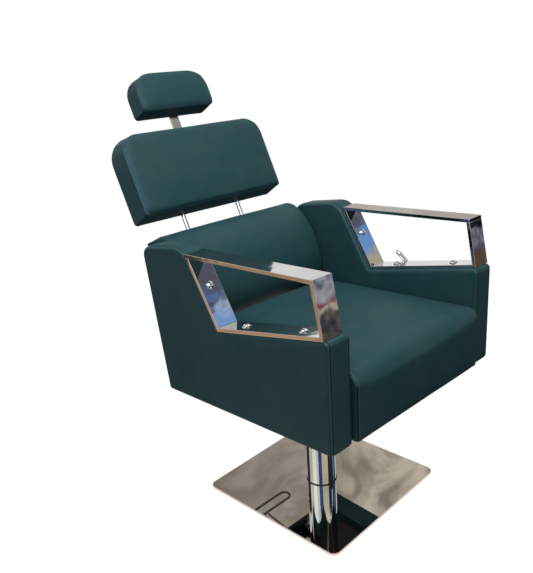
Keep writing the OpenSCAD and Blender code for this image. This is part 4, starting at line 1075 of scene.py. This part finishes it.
def bar_outlines():
    inner = shifted(LOOP, BAR)
    ways = [LOOP[(i + 1) % 4] - LOOP[i] for i in range(4)]

    def butt(i, j):
        """Where bar i's inner side meets bar j's outer side."""
        return meet(inner[i], ways[i], LOOP[j], ways[j])

    top, bottom = (LOOP[0], LOOP[1], butt(0, 1), butt(0, 3)), (LOOP[2], LOOP[3], butt(2, 3), butt(2, 1))
    front, rear = (butt(0, 1), butt(2, 1), inner[2], inner[1]), (butt(2, 3), butt(0, 3), inner[0], inner[3])
    return top, front, bottom, rear


def armrest_loop(side):
    points, quads = [], []
    for outline in bar_outlines():
        base = len(points)
        points += [(side * x, *p) for x in (LOOP_IN, ARM_OUT) for p in outline]
        quads += [(base + 3, base + 2, base + 1, base), (base + 4, base + 5, base + 6, base + 7)]
        quads += [(base + i, base + (i + 1) % 4, base + 4 + (i + 1) % 4, base + 4 + i) for i in range(4)]
    obj = turned_out(mesh_object("armrest_loop_" + hand(side), points, quads, loop_chrome, smooth=False))
    bevel = obj.modifiers.new("ground_edge", "BEVEL")
    bevel.width, bevel.segments = GROUND_EDGE, 2
    return seat_piece(obj, "seat", "chrome", "arm_loop_" + hand(side))


for side in (1, -1):
    print(armrest_loop(side).name, "four bars")

# %% [markdown]
# ## The recline lever
# It is a round chrome rod, bent once on a former, so the knee is a smooth arc. A circle carried along a
# path makes it, with rings that shrink over the rounded tip, and a turned boss clamps it on its shaft.

# %% Lever
def swept(name, path, radii, sides=28):
    """A round rod along a path, with its own radius at each point, closed at both ends."""
    path = np.asarray(path, dtype=float)
    ways = direction(np.gradient(path, axis=0))
    side, points = np.cross(ways[0], (1.0, 0.3, 0.2)), []
    for spot, way, radius in zip(path, ways, radii):
        side = direction(side - way * (side @ way))
        other = np.cross(way, side)
        for a in np.linspace(0, 2 * math.pi, sides, endpoint=False):
            points.append(spot + radius * (math.cos(a) * side + math.sin(a) * other))
    last = (len(path) - 1) * sides
    quads = loops_of_quads(len(path), sides)
    quads += [tuple(range(sides - 1, -1, -1)), tuple(range(last, last + sides))]
    return turned_out(mesh_object(name, points, quads, column_chrome))


def bent_path(points, radius, turns=12):
    """Straight runs joined by arcs, as points."""
    out = [points[0]]
    for a, b, c in zip(points, points[1:], points[2:]):
        u, w = direction(a - b), direction(c - b)
        reach = radius / math.tan(half_angle(u, w))
        for s in np.linspace(0, 1, turns):
            out.append((1 - s) ** 2 * (b + u * reach) + 2 * s * (1 - s) * b + s * s * (b + w * reach))
    out.append(points[-1])
    return np.array(out)


LEVER_R, LEVER_PIVOT, KNEE_R = 0.0065, np.array((0.329, -0.160, 0.4115)), 0.030
LOWER_RUN, UPPER_RUN = (0.129, 14.5), (0.128, 51.5)  # length, and lean in degrees
GRIP_GROOVE, GRIP_GROOVE_R = (0.0215, 0.0210, 0.0204, 0.0198), 0.93 * LEVER_R
TIP_TURNS = np.radians((20, 40, 60, 75, 86))
BOSS = ((-0.0065, 0.0118), (-0.0062, 0.0124), (-0.0055, 0.0128),
        (0.0078, 0.0128), (0.0088, 0.0122), (0.0092, 0.0112))  # place along the shaft, and radius


def leaning(run, lean):
    return run * np.array((0, math.sin(math.radians(lean)), math.cos(math.radians(lean))))


knee = LEVER_PIVOT + leaning(*LOWER_RUN)
tip, way = knee + leaning(*UPPER_RUN), leaning(1, UPPER_RUN[1])
spine = bent_path([LEVER_PIVOT, knee, tip - way * LEVER_R], KNEE_R)[:-1]
ends = (*GRIP_GROOVE, LEVER_R, *(LEVER_R * (1 - math.sin(a)) for a in TIP_TURNS))
radii = [LEVER_R] * (len(spine) + 1) + [GRIP_GROOVE_R] * 2 + [LEVER_R] * 2
radii += [LEVER_R * math.cos(a) for a in TIP_TURNS]
spine = np.vstack([spine, [tip - way * end for end in ends]])
seat_piece(swept("lever_rod", spine, radii), "lever", "chrome", "recline_lever")
boss_line = [LEVER_PIVOT + (dx, 0, 0) for dx, _ in BOSS]
seat_piece(swept("lever_boss", boss_line, [r for _, r in BOSS], 40), "lever", "chrome", "recline_lever")
print("lever is", round(float(np.linalg.norm(np.diff(spine, axis=0), axis=1).sum()) * 1000), "mm long")

# %% [markdown]
# ## Floor and light
# The chair was photographed on white. The floor and the world are white to the camera and to reflections,
# and give less light to everything else, so the colours stay as they are written. The floor still darkens
# under the chair.

# %% Floor and world
FLOOR_HALF, FLOOR_GLOW, SHADED_SHARE = 9.0, 1.1, 0.10


def white_floor():
    f = Finish("studio_floor", Base_Color=(0.30, 0.29, 0.28), Roughness=0.9, Specular_IOR_Level=0.0)
    glow = f.node("ShaderNodeEmission", sockets={"Color": (1.0, 1.0, 1.0), "Strength": FLOOR_GLOW})
    catch = f.node("ShaderNodeBsdfDiffuse", sockets={"Color": (0.9, 0.9, 0.9)})
    both = f.node("ShaderNodeMixShader", sockets={0: SHADED_SHARE, 1: glow, 2: catch})
    own = Sig(f, f.shader.outputs[0])
    shown = f.node("ShaderNodeMixShader", sockets={0: f.rays("Camera", "Glossy"), 1: own, 2: both})
    f.set(f.tree.nodes["Material Output"], {"Surface": shown})
    return f.material


def white_world():
    world = bpy.context.scene.world = bpy.data.worlds.new("studio")
    world.use_nodes = True
    sky = Graph(world.node_tree)
    sky.tree.nodes.clear()
    lit = sky.node("ShaderNodeBackground", sockets={0: (0.88, 0.95, 0.97), 1: 0.23})
    shown = sky.node("ShaderNodeBackground", sockets={0: (1.0, 1.0, 1.0), 1: 1.0})
    seen = sky.rays("Camera", "Glossy", "Transmission")
    both = sky.node("ShaderNodeMixShader", sockets={0: seen, 1: lit, 2: shown})
    sky.set(sky.tree.nodes.new("ShaderNodeOutputWorld"), {"Surface": both})


corners = [(x * FLOOR_HALF, y * FLOOR_HALF, 0) for x, y in ((-1, -1), (1, -1), (1, 1), (-1, 1))]
mesh_object("studio_floor", corners, [(0, 1, 2, 3)], white_floor(), smooth=False)
white_world()
print("floor and world are white to the camera")

# %% [markdown]
# A large soft box overhead gives the top of each cushion its light, and a cooler one on the left, with a
# window card that only reflections see, draws the thin bluish edge that the photograph shows on the leather.
# Chrome would be featureless in an all-white room, so coloured cards stand and lie out of the camera's
# sight, as in any product studio, for the bars, the column and the plate to reflect.

# %% Lamps and cards
def soft_box(name, place, aim, size, power, colour=(1, 1, 1)):
    data = bpy.data.lights.new(name, "AREA")
    data.shape, data.size, data.size_y, data.energy, data.color = "RECTANGLE", *size, power, colour
    lamp = bpy.data.objects.new(name, data)
    lamp.location = place
    lamp.rotation_euler = (Vector(aim) - Vector(place)).to_track_quat("-Z", "Y").to_euler()
    bpy.context.scene.collection.objects.link(lamp)
    return lamp


GLOWING = {"Base_Color": (0, 0, 0), "Roughness": 1.0, "Specular_IOR_Level": 0.0, "Emission_Strength": 1.0}


def paint(name, colour, streak=None, scale=2.5):
    """A finish that gives off its own colour, plain or streaked with a second one."""
    f = Finish(name, **GLOWING)
    if streak:
        colour = f.mix(f.noise(scale, twist=1.2).ramp(0.46, 0.60), colour, streak)
    return f.look(Emission_Color=colour)


def card(name, turns, rails, cuts, material):
    """A sheet that only reflections see, round the column from one turn to another in degrees.

    It runs between two rails, each given as its distance and height."""
    turns = np.radians(np.linspace(*turns, cuts + 1))
    points = [(r * math.cos(t), r * math.sin(t), z) for r, z in rails for t in turns]
    faces = [(i, i + 1, i + cuts + 2, i + cuts + 1) for i in range(cuts)]
    sheet = mesh_object(name, points, faces, material, smooth=False)
    sheet.visible_camera = sheet.visible_diffuse = sheet.visible_shadow = False


def standing_card(name, turns, distance, low, high, *colours):
    card(name, turns, ((distance, low), (distance, high)), 8, paint(name, *colours))


def floor_wedge(name, turns, near, far, *colours):
    card(name, turns, ((near, MAT_Z), (far, MAT_Z)), 12, paint(name, *colours))


def crumpled_cloth():
    """A glowing sheet on the far side that the base plate mirrors. Its glow has the light and shade of a lit grey
    cloth painted in: lighter folds, darker patches, a side that grows lighter and a bluish corner.
    """
    f = Finish("crumpled_cloth", **GLOWING)
    x, y = (f.node("ShaderNodeSeparateXYZ", sockets={"Vector": f.place()}, out=i) for i in (0, 1))
    clouds, folds = f.noise(1.7, 4.0, twist=2.0), f.noise(0.9, 4.0, twist=3.0, kind="RIDGED_MULTIFRACTAL")
    tone = f.mix((x - y).ramp(-0.6, 1.3), (0.33, 0.30, 0.27), (0.60, 0.54, 0.43))
    tone = f.mix(clouds.ramp(0.38, 0.64), tone, (0.25, 0.215, 0.18))
    tone = f.mix(folds.ramp(0.7, 1.7) * 0.6, tone, (0.62, 0.57, 0.50))
    return f.look(Emission_Color=f.mix((y - x).ramp(1.5, 2.1) * 0.8, tone, (0.40, 0.40, 0.50)))


CREAM, SAND, DEEP_BLUE = (0.95, 0.91, 0.68), (0.86, 0.80, 0.56), (0.065, 0.095, 0.30)
SOOT, SLATE, DARK_MAT = (0.035, 0.038, 0.055), (0.105, 0.115, 0.175), (0.03, 0.036, 0.04)
FOOT, STEP, RUG, HALL, ROOM = 0.34, 0.72, 1.40, 2.74, 7.0  # rings round the column
WALL, NEAR_CARDS, MAT_Z = 3.6, 2.4, 0.0012
soft_box("overhead", (-0.45, -0.62, 2.75), (0.0, 0.0, 0.5), (1.8, 1.8), 41.5)
soft_box("left_fill", (-2.3, 0.5, 1.5), (0.0, 0.0, 0.7), (1.2, 1.6), 4.5, (0.62, 0.80, 1.0))
for name, turns, colour in (("edge", (80, 122), SOOT), ("bright", (122, 177), CREAM),
                            ("blue", (202, 228), DEEP_BLUE), ("window", (228, 276), SAND),
                            ("dark", (276, 356), SOOT)):
    floor_wedge("mat_" + name, turns, FOOT, STEP, colour)
    standing_card("wall_" + name, turns, WALL, 1.5, 2.9, colour)
for name, turns, near, far, *colours in (
        ("shade", (100, 187), STEP, RUG, (0.05, 0.065, 0.07)),
        ("planks", (118, 167), RUG, HALL, (0.62, 0.40, 0.25), (0.50, 0.31, 0.19)),
        ("far", (118, 167), HALL, ROOM, (0.045, 0.045, 0.04)),
        ("left", (167, 187), RUG, ROOM, DARK_MAT), ("front", (187, 330), STEP, ROOM, DARK_MAT),
        ("side", (330, 460), STEP, ROOM, DARK_MAT), ("rear", (100, 118), RUG, ROOM, DARK_MAT)):
    floor_wedge("mat_" + name, turns, near, far, *colours)
for name, turns, low, high, *colours in (
        ("near_slate", (-60, -50), 0.492, 0.80, SLATE, (0.62, 0.62, 0.66), 9.0),
        ("near_maroon", (-60, -50), 0.461, 0.492, (0.28, 0.035, 0.055)),
        ("near_cream", (-60, -50), 0.438, 0.461, (0.75, 0.70, 0.55)),
        ("near_foot", (-60, -50), 0.0, 0.438, SOOT, (0.42, 0.37, 0.27), 9.0),
        ("near_sky", (-58, -45), 1.75, 2.02, (0.28, 0.52, 0.98), (0.70, 0.84, 1.00), 4.0),
        ("near_strip", (-58, -45), 2.02, 2.75, (0.125, 0.125, 0.165), (0.14, 0.30, 0.75), 3.2),
        ("far_black", (-44, -29), 0.615, 0.80, (0.010, 0.010, 0.014)),
        ("far_slate", (-44, -29), 0.50, 0.615, SLATE, (0.40, 0.42, 0.46), 12.0),
        ("far_brown", (-44, -29), 0.0, 0.50, (0.24, 0.15, 0.09), (0.10, 0.06, 0.04), 10.0),
        ("far_beige", (-35, -24), 1.30, 1.50, (0.62, 0.56, 0.44)),
        ("far_sky", (-35, -24), 1.50, 1.65, (0.22, 0.46, 0.95)),
        ("far_strip", (-35, -24), 1.65, 1.95, (0.13, 0.14, 0.20), (0.30, 0.32, 0.36), 9.0)):
    standing_card(name, turns, NEAR_CARDS, low, high, *colours)
standing_card("grey_sheet", (16, 40), WALL, 1.15, 1.93, (0.56, 0.51, 0.48), (0.66, 0.61, 0.58), 2.0)
standing_card("cool_window", (198, 216), 2.2, 1.92, 2.7, (19.0, 31.0, 50.0))
card("studio_cloth", (14, 74), ((WALL, 1.95), (WALL, 4.4)), 8, crumpled_cloth())

# %% [markdown]
# ## Finish
# The Standard view transform keeps colours as written.

# %% Finish
bpy.context.scene.view_settings.view_transform = "Standard"
